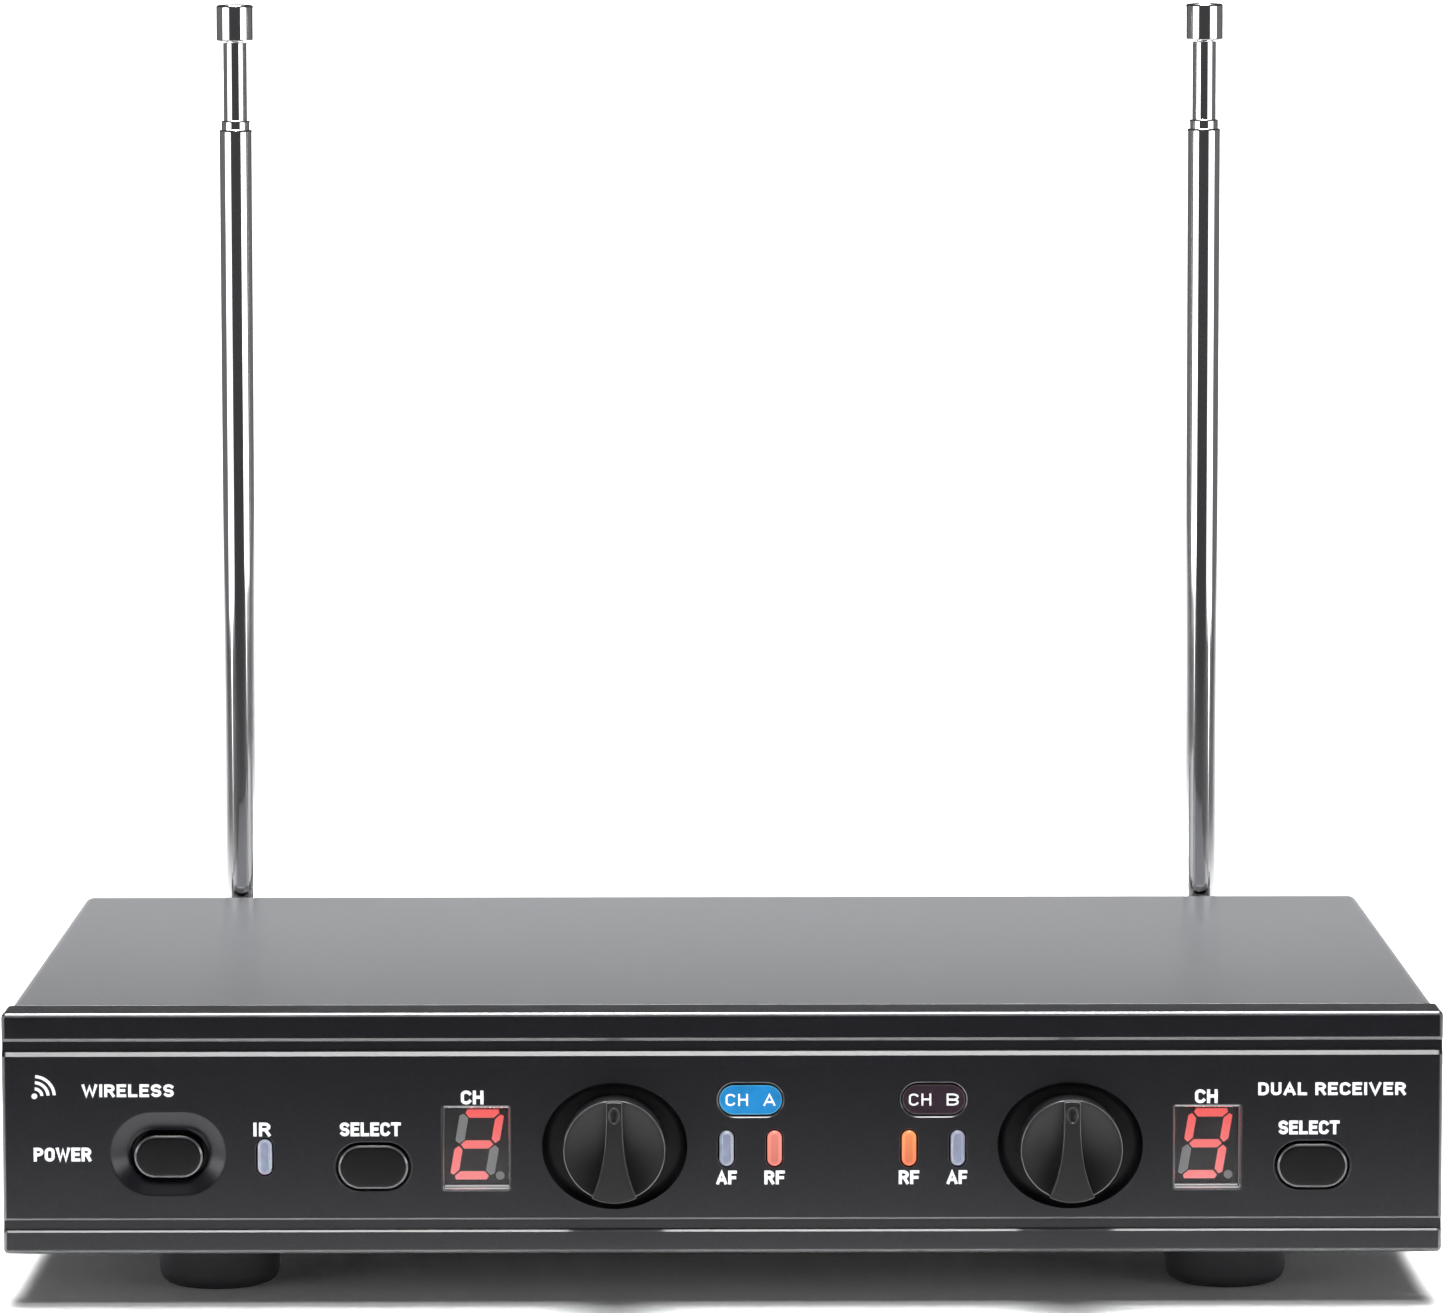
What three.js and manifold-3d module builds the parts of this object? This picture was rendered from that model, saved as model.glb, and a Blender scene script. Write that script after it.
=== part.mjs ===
// Wireless receiver unit: a half-width table-top receiver box with two telescopic whip antennas on its back.
// Millimetres, +X to the right, +Y to the back, +Z up. The origin is on the surface that the unit stands on,
// under the middle of its box. Every piece is placed in the panel frame, a group whose origin is at the middle
// of the front panel's bottom edge: there x runs right, y is the depth behind the panel's front face and z is
// the height above the panel's bottom edge.
import * as THREE from "three";
import { mergeVertices } from "three/addons/utils/BufferGeometryUtils.js";
import Module from "manifold-3d";

const wasm = await Module();
wasm.setup();

// ---------------------------------------------------------------- driving dimensions
const GAP = 0.3; // clearance between pieces that meet
const PANEL = { width: 210, height: 35.6, depth: 7.4, wall: 2.4, side: 2, corner: 0.8, boss: 3.6 };
const GROOVES = [
  { top: 31.77, bottom: 28.97, depth: 0.77 }, // wide line under the top edge
  { top: 5.5, bottom: 3.15, depth: 0.58 }, // fine line over the bottom edge
];
const BACK = 125; // depth of the box, from the panel's front face to the cover's back edge
const COVER = { width: 209.2, sheet: 1, bend: 1.2, bottom: 0.6 };
const CHASSIS = { width: 206.6, sheet: 1, bottom: 0.8, top: 34.2, back: BACK - 0.4, flange: 11 };
const FOOT = { height: 7.7, reach: 0.5, top: 9.35, bottom: 8.9, round: 2.2, x: 74.9, front: 20, back: 105 };

// Controls on the front face, each centre as [x, z].
const POWER = { at: [-80.8, 14.35], cap: [9.95, 6.15], hole: [11.2, 7.1], front: 0.3, travel: 2 };
const POWER_DISH = { at: [-80.8, 14.85], floor: [11.2, 7.1], depth: 1.6 };
const SELECT = { a: [-50.9, 12.9], b: [86, 12.9], cap: [10.15, 6.35], hole: [11.05, 7.1], proud: 0.5, travel: 0.8 };
const KNOB = { a: [-15.7, 15.9], b: [50.7, 15.9], radius: 7.45, proud: 6, back: 1.4, scoop: 1.7, dish: 2 };
const RECESS = { width: 21.2, height: 18.6, floor: 8.3 }; // elliptical dish around a knob
const SHAFT = { radius: 3, bore: 3.25, bush: 3.8 };
const DISPLAY = { a: [-35.9, 15.5], b: [70.7, 15.5], window: [9.85, 12.35], back: 5.6, module: [9.9, 12.8] };
const LAMP = { size: [2.05, 5.3], hole: [2.6, 5.9], proud: 0.3 };
const LAMPS = {
  ir_window: { at: [-66.7, 14.4], lit: false },
  audio_lamp_a: { at: [0.6, 15.55], lit: false },
  radio_lamp_a: { at: [7.6, 15.55], lit: true },
  radio_lamp_b: { at: [27.2, 15.55], lit: true },
  audio_lamp_b: { at: [34.3, 15.55], lit: false },
};
const BADGE = { a: [4.1, 22.5], b: [30.8, 22.5], size: [9.3, 4.5], pocket: [9.9, 5.1], depth: 0.8, sunk: 0.15 };

// Boards inside: one upright behind the front panel, one lying over the chassis floor.
const FRONT_BOARD = { front: 11, thickness: 1.6, bottom: 8.6, top: 32, width: 196 };
const MAIN_BOARD = { front: 14, back: 121, bottom: 7.1, thickness: 1.6, width: 190 };
const SHIELD = { x: 48, width: 44, front: 40, back: 92, height: 12, sheet: 0.6 };

// Sockets on the back, each centre as [x, z].
const XLR = { a: [-31, 19.5], b: [0, 19.5], flange: 26, barrel: 10.4, cup: 9.5, depth: 13.6, length: 15.6 };
const XLR_PIN = { circle: 4.1, radius: 1.2, length: 12 };
const JACK = { at: [28, 18], body: 14, bush: 4.7, bore: 3.25, nut: 7.3, front: 128.6 };
const POWER_INLET = { at: [52, 15.1], body: [9, 11], bore: 3.1, pin: 1, length: 13 };

// Antennas: a bush in the back wall, a fork that swivels in it and a whip that folds on the fork's pin.
const MAST = { x: 79.3, z: 20, standoff: 9 };
const FORK = { shank: 3, shoulder: 5, ear: 4, slot: 1.8, width: 3.6, pin: 1.25, hole: 1.5 };
const BUSH = { flange: 6.5, body: 4, bore: 3.2, proud: 3 };
const TONGUE = { thickness: 3, radius: 3.4 };
const WHIP = { foot: 6, floor: 11.5, wall: 0.25, sides: 20 }; // heights are over the fold pin
const SECTIONS = {
  outer: { radius: 2.725, top: 141.2 },
  middle: { radius: 2.37, top: 142.7 },
  inner: { radius: 1.98, top: 155.3 },
  tip: { radius: 1.55, top: 161.7, cap: 3.075 },
};
const SIDES = { left: -1, right: 1 };

const BOX_DEPTH = KNOB.proud + BACK + MAST.standoff + FORK.ear; // knob faces to the fork's back
const FRONT = KNOB.proud - BOX_DEPTH / 2;
const ROUND = 20; // sides of a turned piece
const FINE = 4; // half the number of steps on an arc of an outline

// ---------------------------------------------------------------- materials
const material = (color, roughness, metalness = 0) => new THREE.MeshStandardMaterial({ color, roughness, metalness });
const MATERIAL = {
  panel: material(0x232326, 0.45),
  cover: material(0x2e2f33, 0.5, 0.3),
  chassis: material(0x28292c, 0.5, 0.3),
  control: material(0x1c1c1f, 0.5),
  rubber: material(0x18181a, 0.9),
  chrome: material(0xe6e8ea, 0.08, 1),
  nickel: material(0xb9bcbf, 0.3, 1),
  window: material(0x3a2f31, 0.1),
  display: material(0x2c2628, 0.4),
  lampOff: material(0x92a0bc, 0.3),
  lampLit: material(0xf0644e, 0.3),
  badgeA: material(0x1b93d6, 0.4),
  badgeB: material(0x39283a, 0.4),
  board: material(0x1f5a34, 0.5),
  socket: material(0x151517, 0.45),
  ribbon: material(0x8d8f93, 0.6),
};

// ---------------------------------------------------------------- solids
// A closed three.js geometry as a solid that can be cut and joined.
function solid(geometry) {
  const bare = geometry.index ? geometry.toNonIndexed() : geometry.clone();
  bare.deleteAttribute("normal");
  bare.deleteAttribute("uv");
  const merged = mergeVertices(bare, 1e-4);
  const vertProperties = merged.attributes.position.array;
  const triVerts = new Uint32Array(merged.index.array);
  return new wasm.Manifold(new wasm.Mesh({ numProp: 3, vertProperties, triVerts }));
}

const join = (...solids) => solids.reduce((whole, piece) => whole.add(piece));
const cut = (whole, ...tools) => tools.reduce((left, tool) => left.subtract(tool), whole);

function node(name, shape, look) {
  const made = shape.getMesh();
  const geometry = new THREE.BufferGeometry();
  geometry.setAttribute("position", new THREE.BufferAttribute(made.vertProperties, 3));
  geometry.setIndex(new THREE.BufferAttribute(made.triVerts, 1));
  const mesh = new THREE.Mesh(geometry, look);
  mesh.name = name;
  return mesh;
}

function box([x0, x1], [y0, y1], [z0, z1]) {
  const geometry = new THREE.BoxGeometry(x1 - x0, y1 - y0, z1 - z0);
  return solid(geometry.translate((x0 + x1) / 2, (y0 + y1) / 2, (z0 + z1) / 2));
}

const span = (middle, width) => [middle - width / 2, middle + width / 2];
const outline = (points) => new THREE.Shape(points.map(([x, y]) => new THREE.Vector2(x, y)));
const extrude = (shape, depth) => new THREE.ExtrudeGeometry(shape, { depth, bevelEnabled: false, curveSegments: FINE });

// A shape drawn in x and z, from depth y0 to y1, with its middle at [x, z].
function prismY(shape, [y0, y1], [x, z] = [0, 0]) {
  return solid(extrude(shape, y1 - y0).rotateX(Math.PI / 2).translate(x, y1, z));
}

// A shape drawn in y and z, from x0 to x1.
function prismX(shape, [x0, x1]) {
  return solid(extrude(shape, x1 - x0).rotateY(Math.PI / 2).rotateX(Math.PI / 2).translate(x0, 0, 0));
}

// A section of [radius, y] points turned about a line along y through [x, z].
function turnedY(section, [x, z] = [0, 0], sides = ROUND) {
  const points = section.map(([radius, along]) => new THREE.Vector2(radius, along));
  return solid(new THREE.LatheGeometry(points, sides).translate(x, 0, z));
}

const discY = (radius, [y0, y1], at, sides) => turnedY([[0, y0], [radius, y0], [radius, y1], [0, y1]], at, sides);

// A section of [radius, z] points turned about z. It runs outwards at the bottom and inwards at the top.
function turnedZ(section, sides = ROUND) {
  const points = section.map(([radius, along]) => new THREE.Vector2(radius, along));
  return solid(new THREE.LatheGeometry(points, sides).rotateX(Math.PI / 2));
}

// ---------------------------------------------------------------- outlines in x and z
const circle = (radius) => new THREE.Shape().absarc(0, 0, radius, 0, 2 * Math.PI);

// A pill: two half circles joined by straight sides, along the longer of the two sizes.
function pill([width, height]) {
  const radius = Math.min(width, height) / 2;
  const [dx, dy] = [width / 2 - radius, height / 2 - radius];
  const start = dx > dy ? -Math.PI / 2 : 0;
  const shape = new THREE.Shape();
  shape.absarc(dx, dy, radius, start, start + Math.PI);
  shape.absarc(-dx, -dy, radius, start + Math.PI, start + 2 * Math.PI);
  return shape;
}

function rectangle(width, height, corner = 0) {
  const [x, y] = [width / 2 - corner, height / 2 - corner];
  if (!corner) return outline([[x, y], [-x, y], [-x, -y], [x, -y]]);
  const shape = new THREE.Shape();
  [[x, y], [-x, y], [-x, -y], [x, -y]].forEach(([cx, cy], quarter) => {
    shape.absarc(cx, cy, corner, (quarter * Math.PI) / 2, ((quarter + 1) * Math.PI) / 2);
  });
  return shape;
}

// ---------------------------------------------------------------- casing
// A hollow in the panel's face with curved sides: a pill at its floor that flares out towards the face.
function flaredDish({ at, floor, depth }) {
  const [overFace, flare] = [1, 3.2];
  const bevel = { bevelEnabled: true, bevelThickness: depth + overFace, bevelSize: flare, bevelSegments: 3 };
  const geometry = new THREE.ExtrudeGeometry(pill(floor), { depth: 1, curveSegments: FINE, ...bevel });
  return solid(geometry.rotateX(Math.PI / 2).translate(at[0], -overFace, at[1]));
}

// The elliptical dish around a knob.
function knobDish(at) {
  const steps = 3;
  const section = [[0, -1], [RECESS.height / 2, -1]];
  for (let i = 0; i <= steps; i++) {
    const turn = (i / steps) * (Math.PI / 2);
    const radius = RECESS.floor + (RECESS.height / 2 - RECESS.floor) * Math.cos(turn);
    section.push([radius, KNOB.dish * Math.sin(turn)]);
  }
  section.push([0, KNOB.dish]);
  const points = section.map(([radius, along]) => new THREE.Vector2(radius, along));
  const geometry = new THREE.LatheGeometry(points, 36).scale(RECESS.width / RECESS.height, 1, 1);
  return solid(geometry.translate(at[0], 0, at[1]));
}

// The panel's side profile in y and z: rounded edges at the front, with the two grooves cut across the face.
function panelProfile() {
  const { depth, height, corner } = PANEL;
  const shape = new THREE.Shape();
  shape.moveTo(depth, height);
  shape.lineTo(corner, height);
  shape.lineTo(0, height - corner);
  for (const groove of GROOVES) {
    shape.lineTo(0, groove.top);
    shape.lineTo(groove.depth, groove.top - groove.depth);
    shape.lineTo(groove.depth, groove.bottom + groove.depth);
    shape.lineTo(0, groove.bottom);
  }
  shape.absarc(corner, corner, corner, Math.PI, 1.5 * Math.PI);
  shape.lineTo(depth, 0);
  return shape;
}

function frontPanel() {
  const { width, height, depth, wall, side, corner, boss } = PANEL;
  const past = depth + 1;
  const middle = [0, height / 2];
  const front = prismY(rectangle(width, height, corner), [-1, past], middle);
  const shell = prismX(panelProfile(), span(0, width)).intersect(front);
  const hollow = box(span(0, width - 2 * side), [wall, past], [side, height - side]);
  const bosses = [
    box(span(POWER.at[0], 18), [wall - 0.1, boss], span(POWER.at[1], 14)),
    ...[KNOB.a, KNOB.b].map((at) => box(span(at[0], 24), [wall - 0.1, boss], span(at[1], 20))),
  ];
  const through = [-2, past];
  const tools = [
    flaredDish(POWER_DISH),
    prismY(pill(POWER.hole), through, POWER.at),
    ...[KNOB.a, KNOB.b].flatMap((at) => [knobDish(at), discY(SHAFT.bush + 0.3, through, at)]),
    ...[SELECT.a, SELECT.b].map((at) => prismY(pill(SELECT.hole), through, at)),
    ...[DISPLAY.a, DISPLAY.b].map((at) => {
      const [w, h] = DISPLAY.window;
      return prismY(rectangle(w + 0.5, h + 0.5), through, at);
    }),
    ...Object.values(LAMPS).map((lamp) => prismY(pill(LAMP.hole), through, lamp.at)),
    ...[BADGE.a, BADGE.b].map((at) => prismY(pill(BADGE.pocket), [-1, BADGE.depth], at)),
  ];
  return cut(join(cut(shell, hollow), ...bosses), ...tools);
}

// The cover is a sheet bent over the top and down both sides.
function topCover() {
  const { width, sheet, bend, bottom } = COVER;
  const half = width / 2;
  const top = PANEL.height;
  const shape = new THREE.Shape();
  shape.moveTo(half, bottom);
  shape.lineTo(half, top - bend);
  shape.absarc(half - bend, top - bend, bend, 0, Math.PI / 2);
  shape.absarc(bend - half, top - bend, bend, Math.PI / 2, Math.PI);
  shape.lineTo(-half, bottom);
  shape.lineTo(sheet - half, bottom);
  shape.absarc(bend - half, top - bend, bend - sheet, Math.PI, Math.PI / 2, true);
  shape.absarc(half - bend, top - bend, bend - sheet, Math.PI / 2, 0, true);
  shape.lineTo(half - sheet, bottom);
  const sinks = SCREWS.map(({ side, y }) => screwSink(side, y));
  return cut(prismY(shape, [PANEL.depth + GAP, BACK]), ...sinks);
}

// The chassis is a floor with a back wall, two low side flanges and a low front flange.
function chassis() {
  const { width, sheet, bottom, top, back, flange } = CHASSIS;
  const front = PANEL.depth + 2 * GAP;
  const half = width / 2;
  const floor = box(span(0, width), [front, back], [bottom, bottom + sheet]);
  const wall = box(span(0, width), [back - sheet, back], [bottom, top]);
  const lip = box(span(0, width - 6), [front, front + sheet], [bottom, bottom + 6]);
  const flanges = [-1, 1].map((side) =>
    box(span(side * (half - sheet / 2), sheet), [front, back], [bottom, bottom + flange]),
  );
  const posts = [-1, 1].flatMap((side) =>
    [26, 110].map((y) => box(span(side * 86, 5), span(y, 5), [bottom, MAIN_BOARD.bottom - GAP])),
  );
  const through = [back - 2, back + 1];
  const [inletWidth, inletHeight] = POWER_INLET.body;
  const holes = [
    ...[XLR.a, XLR.b].map((at) => discY(XLR.barrel + 0.4, through, at)),
    discY(JACK.bush + 0.3, through, JACK.at),
    prismY(rectangle(inletWidth + 0.6, inletHeight + 0.6), through, POWER_INLET.at),
    ...Object.values(SIDES).map((side) => discY(BUSH.body + 0.3, through, [side * MAST.x, MAST.z])),
    ...SCREWS.map(({ side, y }) => screwHole(side, y)),
  ];
  return cut(join(floor, wall, lip, ...flanges, ...posts), ...holes);
}

// A foot is a short tapered rubber button with a rounded lower edge.
function foot() {
  const { height, reach, top, bottom, round } = FOOT;
  const section = [[0, -height]];
  const steps = 3;
  for (let i = 0; i <= steps; i++) {
    const turn = (i / steps) * (Math.PI / 2);
    section.push([bottom - round + round * Math.sin(turn), round - height - round * Math.cos(turn)]);
  }
  section.push([top, reach], [0, reach]);
  return turnedZ(section, ROUND);
}

// ---------------------------------------------------------------- cover screws
// Countersunk screws through the cover's sides into the chassis flanges.
const SCREW = { z: 7.5, head: 2.7, shank: 1.3, length: 5 };
const SCREWS = [-1, 1].flatMap((side) => [32, 104].map((y, i) => ({ side, y, name: i ? "back" : "front" })));

// A section of [radius, depth under the side face] points, turned about the screw's axis.
function onSide(section, side, y) {
  const points = section.map(([radius, depth]) => new THREE.Vector2(radius, -depth)).reverse();
  const turned = new THREE.LatheGeometry(points, ROUND / 2).rotateZ((-side * Math.PI) / 2);
  return solid(turned.translate((side * COVER.width) / 2, y, SCREW.z));
}

function screwSink(side, y) {
  const rim = SCREW.head + 0.25;
  return onSide([[0, -1], [rim + 1, -1], [SCREW.shank + 0.6, 1.05], [SCREW.shank + 0.6, 2], [0, 2]], side, y);
}

function screwHole(side, y) {
  return onSide([[0, 0.5], [SCREW.shank + 0.3, 0.5], [SCREW.shank + 0.3, 4], [0, 4]], side, y);
}

function coverScrew(side, y) {
  const { head, shank, length } = SCREW;
  return onSide([[0, 0.1], [head, 0.1], [head - 0.15, 0.25], [shank, 1.25], [shank, length], [0, length]], side, y);
}

// ---------------------------------------------------------------- buttons and their switches
// A push button: its cap, a flange that keeps it behind the panel, and a stem that reaches the switch.
function pushButton(at, cap, [front, flange, stemEnd], stemWidth) {
  const thick = 0.7;
  const [capWidth, capHeight] = cap;
  return join(
    prismY(pill(cap), [front, flange + 0.1], at),
    prismY(pill([capWidth + 2.4, capHeight + 2.2]), [flange, flange + thick], at),
    box(span(at[0], stemWidth), [flange + thick - 0.1, stemEnd], span(at[1], stemWidth)),
  );
}

// A switch body on the front board, with a well for the stem.
function pushSwitch([x, z], width, front, stemWidth) {
  const back = FRONT_BOARD.front - GAP;
  const well = stemWidth + 0.7;
  return cut(
    box(span(x, width), [front, back], span(z, width)),
    box(span(x, well), [front - 1, back - 0.3], span(z, well)),
  );
}

const POWER_STEM = { flange: PANEL.boss + GAP, end: 8.2, width: 3.3, switchFront: 7.6, body: 8.4 };
const SELECT_STEM = { flange: PANEL.wall + GAP, end: 8.3, width: 2.8, switchFront: 7.6, body: 6.2 };

// ---------------------------------------------------------------- level controls
// The pointer on a knob's face: narrow at its top, widening in a curve to its bottom.
function pointer() {
  const [top, bottom, reach] = [1.1, 3.45, KNOB.radius + 1];
  const shape = new THREE.Shape();
  shape.moveTo(-top, reach);
  shape.lineTo(-top, 0.5);
  shape.quadraticCurveTo(-top - 0.2, -3.5, -bottom, -6.6);
  shape.lineTo(-bottom, -reach);
  shape.lineTo(bottom, -reach);
  shape.lineTo(bottom, -6.6);
  shape.quadraticCurveTo(top + 0.2, -3.5, top, 0.5);
  shape.lineTo(top, reach);
  return shape;
}

function levelKnob(at) {
  const { radius, proud, back, scoop } = KNOB;
  const body = discY(radius, [-proud, back], at);
  const faces = discY(radius + 1, [-proud - 1, scoop - proud], at);
  const scoops = cut(faces, prismY(pointer(), [-proud - 2, scoop], at));
  const bore = discY(SHAFT.bore, [scoop + 1 - proud, back + 1], at);
  return cut(body, scoops, bore);
}

function potShaft(at) {
  return discY(SHAFT.radius, [KNOB.scoop + 1.4 - KNOB.proud, 8.4], at);
}

function levelPot(at) {
  const bush = discY(SHAFT.bush, [KNOB.back + GAP, 5], at);
  const body = box(span(at[0], 9.8), [4.8, FRONT_BOARD.front - GAP], span(at[1], 11.4));
  return cut(join(bush, body), discY(SHAFT.bore, [-1, 9.6], at));
}

// ---------------------------------------------------------------- displays, lamps and badges
function displayWindow(at) {
  const [width, height] = DISPLAY.window;
  const flange = PANEL.wall + GAP;
  return join(
    prismY(rectangle(width, height), [-0.15, DISPLAY.back], at),
    prismY(rectangle(width + 1.6, height + 1.4), [flange, flange + 0.9], at),
  );
}

function displayModule(at) {
  const [width, height] = DISPLAY.module;
  return box(span(at[0], width), [DISPLAY.back + GAP, FRONT_BOARD.front - GAP], span(at[1], height));
}

// A light pipe: a pill that runs from the panel's face to the lamp on the front board.
function lamp(at) {
  const flange = PANEL.wall + GAP;
  const [width, height] = LAMP.size;
  return join(
    prismY(pill(LAMP.size), [-LAMP.proud, FRONT_BOARD.front - GAP], at),
    prismY(pill([width + 1.4, height + 1.4]), [flange, flange + 0.8], at),
  );
}

function badge(at) {
  return prismY(pill(BADGE.size), [BADGE.sunk, BADGE.depth - GAP], at);
}

// ---------------------------------------------------------------- boards
function frontBoard() {
  const { front, thickness, bottom, top, width } = FRONT_BOARD;
  return box(span(0, width), [front, front + thickness], [bottom, top]);
}

// The main board with the tall parts soldered to it: capacitors, a regulator and two chips.
function mainBoard() {
  const { front, back, bottom, thickness, width } = MAIN_BOARD;
  const top = bottom + thickness;
  const board = box(span(0, width), [front, back], [bottom, top]);
  const can = (radius, height) => turnedZ([[0, top - 0.1], [radius, top - 0.1], [radius, top + height], [0, top + height]]);
  const capacitors = [[84, 100], [84, 86], [12, 60], [-12, 60]].map(([x, y]) => can(4, 11).translate([x, y, 0]));
  const chips = [[0, 84], [0, 40]].map(([x, y]) => box(span(x, 14), span(y, 10), [top - 0.1, top + 1.4]));
  const regulator = box(span(68, 10), span(104, 4), [top - 0.1, top + 15]);
  return join(board, ...capacitors, ...chips, regulator);
}

// A folded tin box, open underneath, over one channel's radio section.
function radioShield(side) {
  const { x, width, front, back, height, sheet } = SHIELD;
  const bottom = MAIN_BOARD.bottom + MAIN_BOARD.thickness + GAP;
  const can = box(span(side * x, width), [front, back], [bottom, bottom + height]);
  const inside = [front + sheet, back - sheet];
  return cut(can, box(span(side * x, width - 2 * sheet), inside, [bottom - 1, bottom + height - sheet]));
}

// The flat cable from the back of the front board, round a bend, to the top of the main board.
function boardRibbon() {
  const [thickness, radius, width] = [0.9, 3, 25];
  const y = FRONT_BOARD.front + FRONT_BOARD.thickness + GAP;
  const z = MAIN_BOARD.bottom + MAIN_BOARD.thickness + GAP;
  const shape = new THREE.Shape();
  shape.moveTo(y, z + 9);
  shape.lineTo(y, z + radius);
  shape.absarc(y + radius, z + radius, radius, Math.PI, 1.5 * Math.PI);
  shape.lineTo(y + 14, z);
  shape.lineTo(y + 14, z + thickness);
  shape.absarc(y + radius, z + radius, radius - thickness, 1.5 * Math.PI, Math.PI, true);
  shape.lineTo(y + thickness, z + 9);
  return prismX(shape, span(0, width));
}

// ---------------------------------------------------------------- sockets on the back
// A three-pin output: a square flange with two fixing holes, and a barrel with pins in its cup.
function xlrOutput(at) {
  const { flange, barrel, cup, depth, length } = XLR;
  const seat = CHASSIS.back + GAP;
  const face = seat + 1.6;
  const floor = face - depth;
  const body = join(
    prismY(rectangle(flange, flange, 3), [seat, face], at),
    discY(barrel, [face - length, seat + 0.1], at),
  );
  const pins = [30, 150, 270].map((degrees) => {
    const turn = THREE.MathUtils.degToRad(degrees);
    const pinAt = [at[0] + XLR_PIN.circle * Math.cos(turn), at[1] + XLR_PIN.circle * Math.sin(turn)];
    return discY(XLR_PIN.radius, [floor - 0.5, floor + XLR_PIN.length], pinAt, 10);
  });
  const fixings = [-1, 1].map((side) => discY(1.6, [seat - 1, face + 1], [at[0] + side * 10, at[1] - side * 10], 12));
  return join(cut(body, discY(cup, [floor, face + 1], at), ...fixings), ...pins);
}

function outputJack() {
  const { at, body, bush, bore, front } = JACK;
  const wall = CHASSIS.back - CHASSIS.sheet - GAP;
  const shell = join(
    box(span(at[0], body), [wall - 24, wall], span(at[1], body)),
    discY(bush, [wall - 0.1, front], at),
  );
  return cut(shell, discY(bore, [wall - 22, front + 1], at));
}

function jackNut() {
  const { at, bush, nut } = JACK;
  const seat = CHASSIS.back + GAP;
  return cut(discY(nut, [seat, seat + 2.4], at, 6), discY(bush + 0.25, [seat - 1, seat + 4], at));
}

function powerInlet() {
  const { at, body, bore, pin, length } = POWER_INLET;
  const face = CHASSIS.back + GAP;
  const [width, height] = body;
  const block = prismY(rectangle(width, height), [face - length, face], at);
  return join(cut(block, discY(bore, [face - 10, face + 1], at)), discY(pin, [face - 10.5, face - 1.2], at, 12));
}

// ---------------------------------------------------------------- antennas, drawn about the fold pin
function antennaBush() {
  const wall = -MAST.standoff;
  const { flange, body, bore, proud } = BUSH;
  const inner = wall - 7;
  const section = [[bore, inner], [body, inner], [body, wall], [flange, wall], [flange, wall + proud], [bore, wall + proud]];
  return turnedY([...section, section[0]]);
}

// The fork: a shank that turns in the bush, a shoulder disc, and two ears that hold the fold pin.
function antennaFork() {
  const { shank, shoulder, ear, slot, width, hole } = FORK;
  const disc = BUSH.proud + GAP - MAST.standoff;
  const discBack = disc + 1.6;
  const stem = turnedY([[0, -MAST.standoff - 9], [shank, -MAST.standoff - 9], [shank, disc], [shoulder, disc],
    [shoulder, discBack], [0, discBack]]);
  const profile = new THREE.Shape();
  profile.moveTo(discBack - 0.3, -ear);
  profile.lineTo(0, -ear);
  profile.absarc(0, 0, ear, -Math.PI / 2, Math.PI / 2);
  profile.lineTo(discBack - 0.3, ear);
  const ears = [-1, 1].map((side) => prismX(profile, side < 0 ? [-width, -slot] : [slot, width]));
  return cut(join(stem, ...ears), prismX(circle(hole), span(0, 4 * width)));
}

function foldPin() {
  const { width, pin } = FORK;
  const heads = [-1, 1].map((side) => prismX(circle(2.2), span(side * (width + GAP + 0.35), 0.7)));
  return join(prismX(circle(pin), span(0, 2 * width + 1)), ...heads);
}

// The outer tube with the flat tongue at its foot that turns on the fold pin.
function outerTube() {
  const { radius, top } = SECTIONS.outer;
  const { foot, floor, wall, sides } = WHIP;
  const bore = radius - wall;
  const tube = turnedZ([[0, foot], [radius, foot], [radius, top], [bore, top], [bore, floor], [0, floor]], sides);
  const profile = new THREE.Shape();
  profile.moveTo(2.4, foot + 0.5);
  profile.lineTo(-2.4, foot + 0.5);
  profile.absarc(0, 0, TONGUE.radius, Math.PI, 2 * Math.PI);
  const tongue = prismX(profile, span(0, TONGUE.thickness));
  return cut(join(tube, tongue), prismX(circle(FORK.hole), span(0, 8)));
}

// A thin tube inside the one before it, as seen with the whip pushed together.
function slidingTube({ radius, top }) {
  const bottom = WHIP.floor + GAP;
  const bore = radius - WHIP.wall;
  return turnedZ([[bore, bottom], [radius, bottom], [radius, top], [bore, top], [bore, bottom]], WHIP.sides);
}

function tipRod() {
  const { radius, top, cap } = SECTIONS.tip;
  const seat = SECTIONS.inner.top + GAP;
  const edge = 0.5;
  const section = [[0, WHIP.floor + GAP], [radius, WHIP.floor + GAP], [radius, seat], [cap - edge, seat], [cap, seat + edge],
    [cap, top - 0.7], [cap - edge, top - 0.2], [cap / 2, top], [0, top]];
  return turnedZ(section, WHIP.sides);
}

// The lead from an antenna's fork to its radio shield.
function antennaLead(side) {
  const bottom = MAIN_BOARD.bottom + MAIN_BOARD.thickness;
  const shieldSide = SHIELD.x + SHIELD.width / 2 + GAP;
  const points = [[MAST.x, BACK - 9.4, MAST.z], [MAST.x, BACK - 14, MAST.z - 0.6], [78, 98, bottom + 6],
    [76, 78, bottom + 3.6], [shieldSide + 0.6, 76, bottom + 3.6]];
  const path = new THREE.CatmullRomCurve3(points.map(([x, y, z]) => new THREE.Vector3(side * x, y, z)));
  const section = outline([0, 1, 2, 3, 4, 5, 6, 7].map((i) => {
    const turn = (i * Math.PI) / 4;
    return [0.8 * Math.cos(turn), 0.8 * Math.sin(turn)];
  }));
  return solid(new THREE.ExtrudeGeometry(section, { steps: 16, extrudePath: path, bevelEnabled: false }));
}

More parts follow.
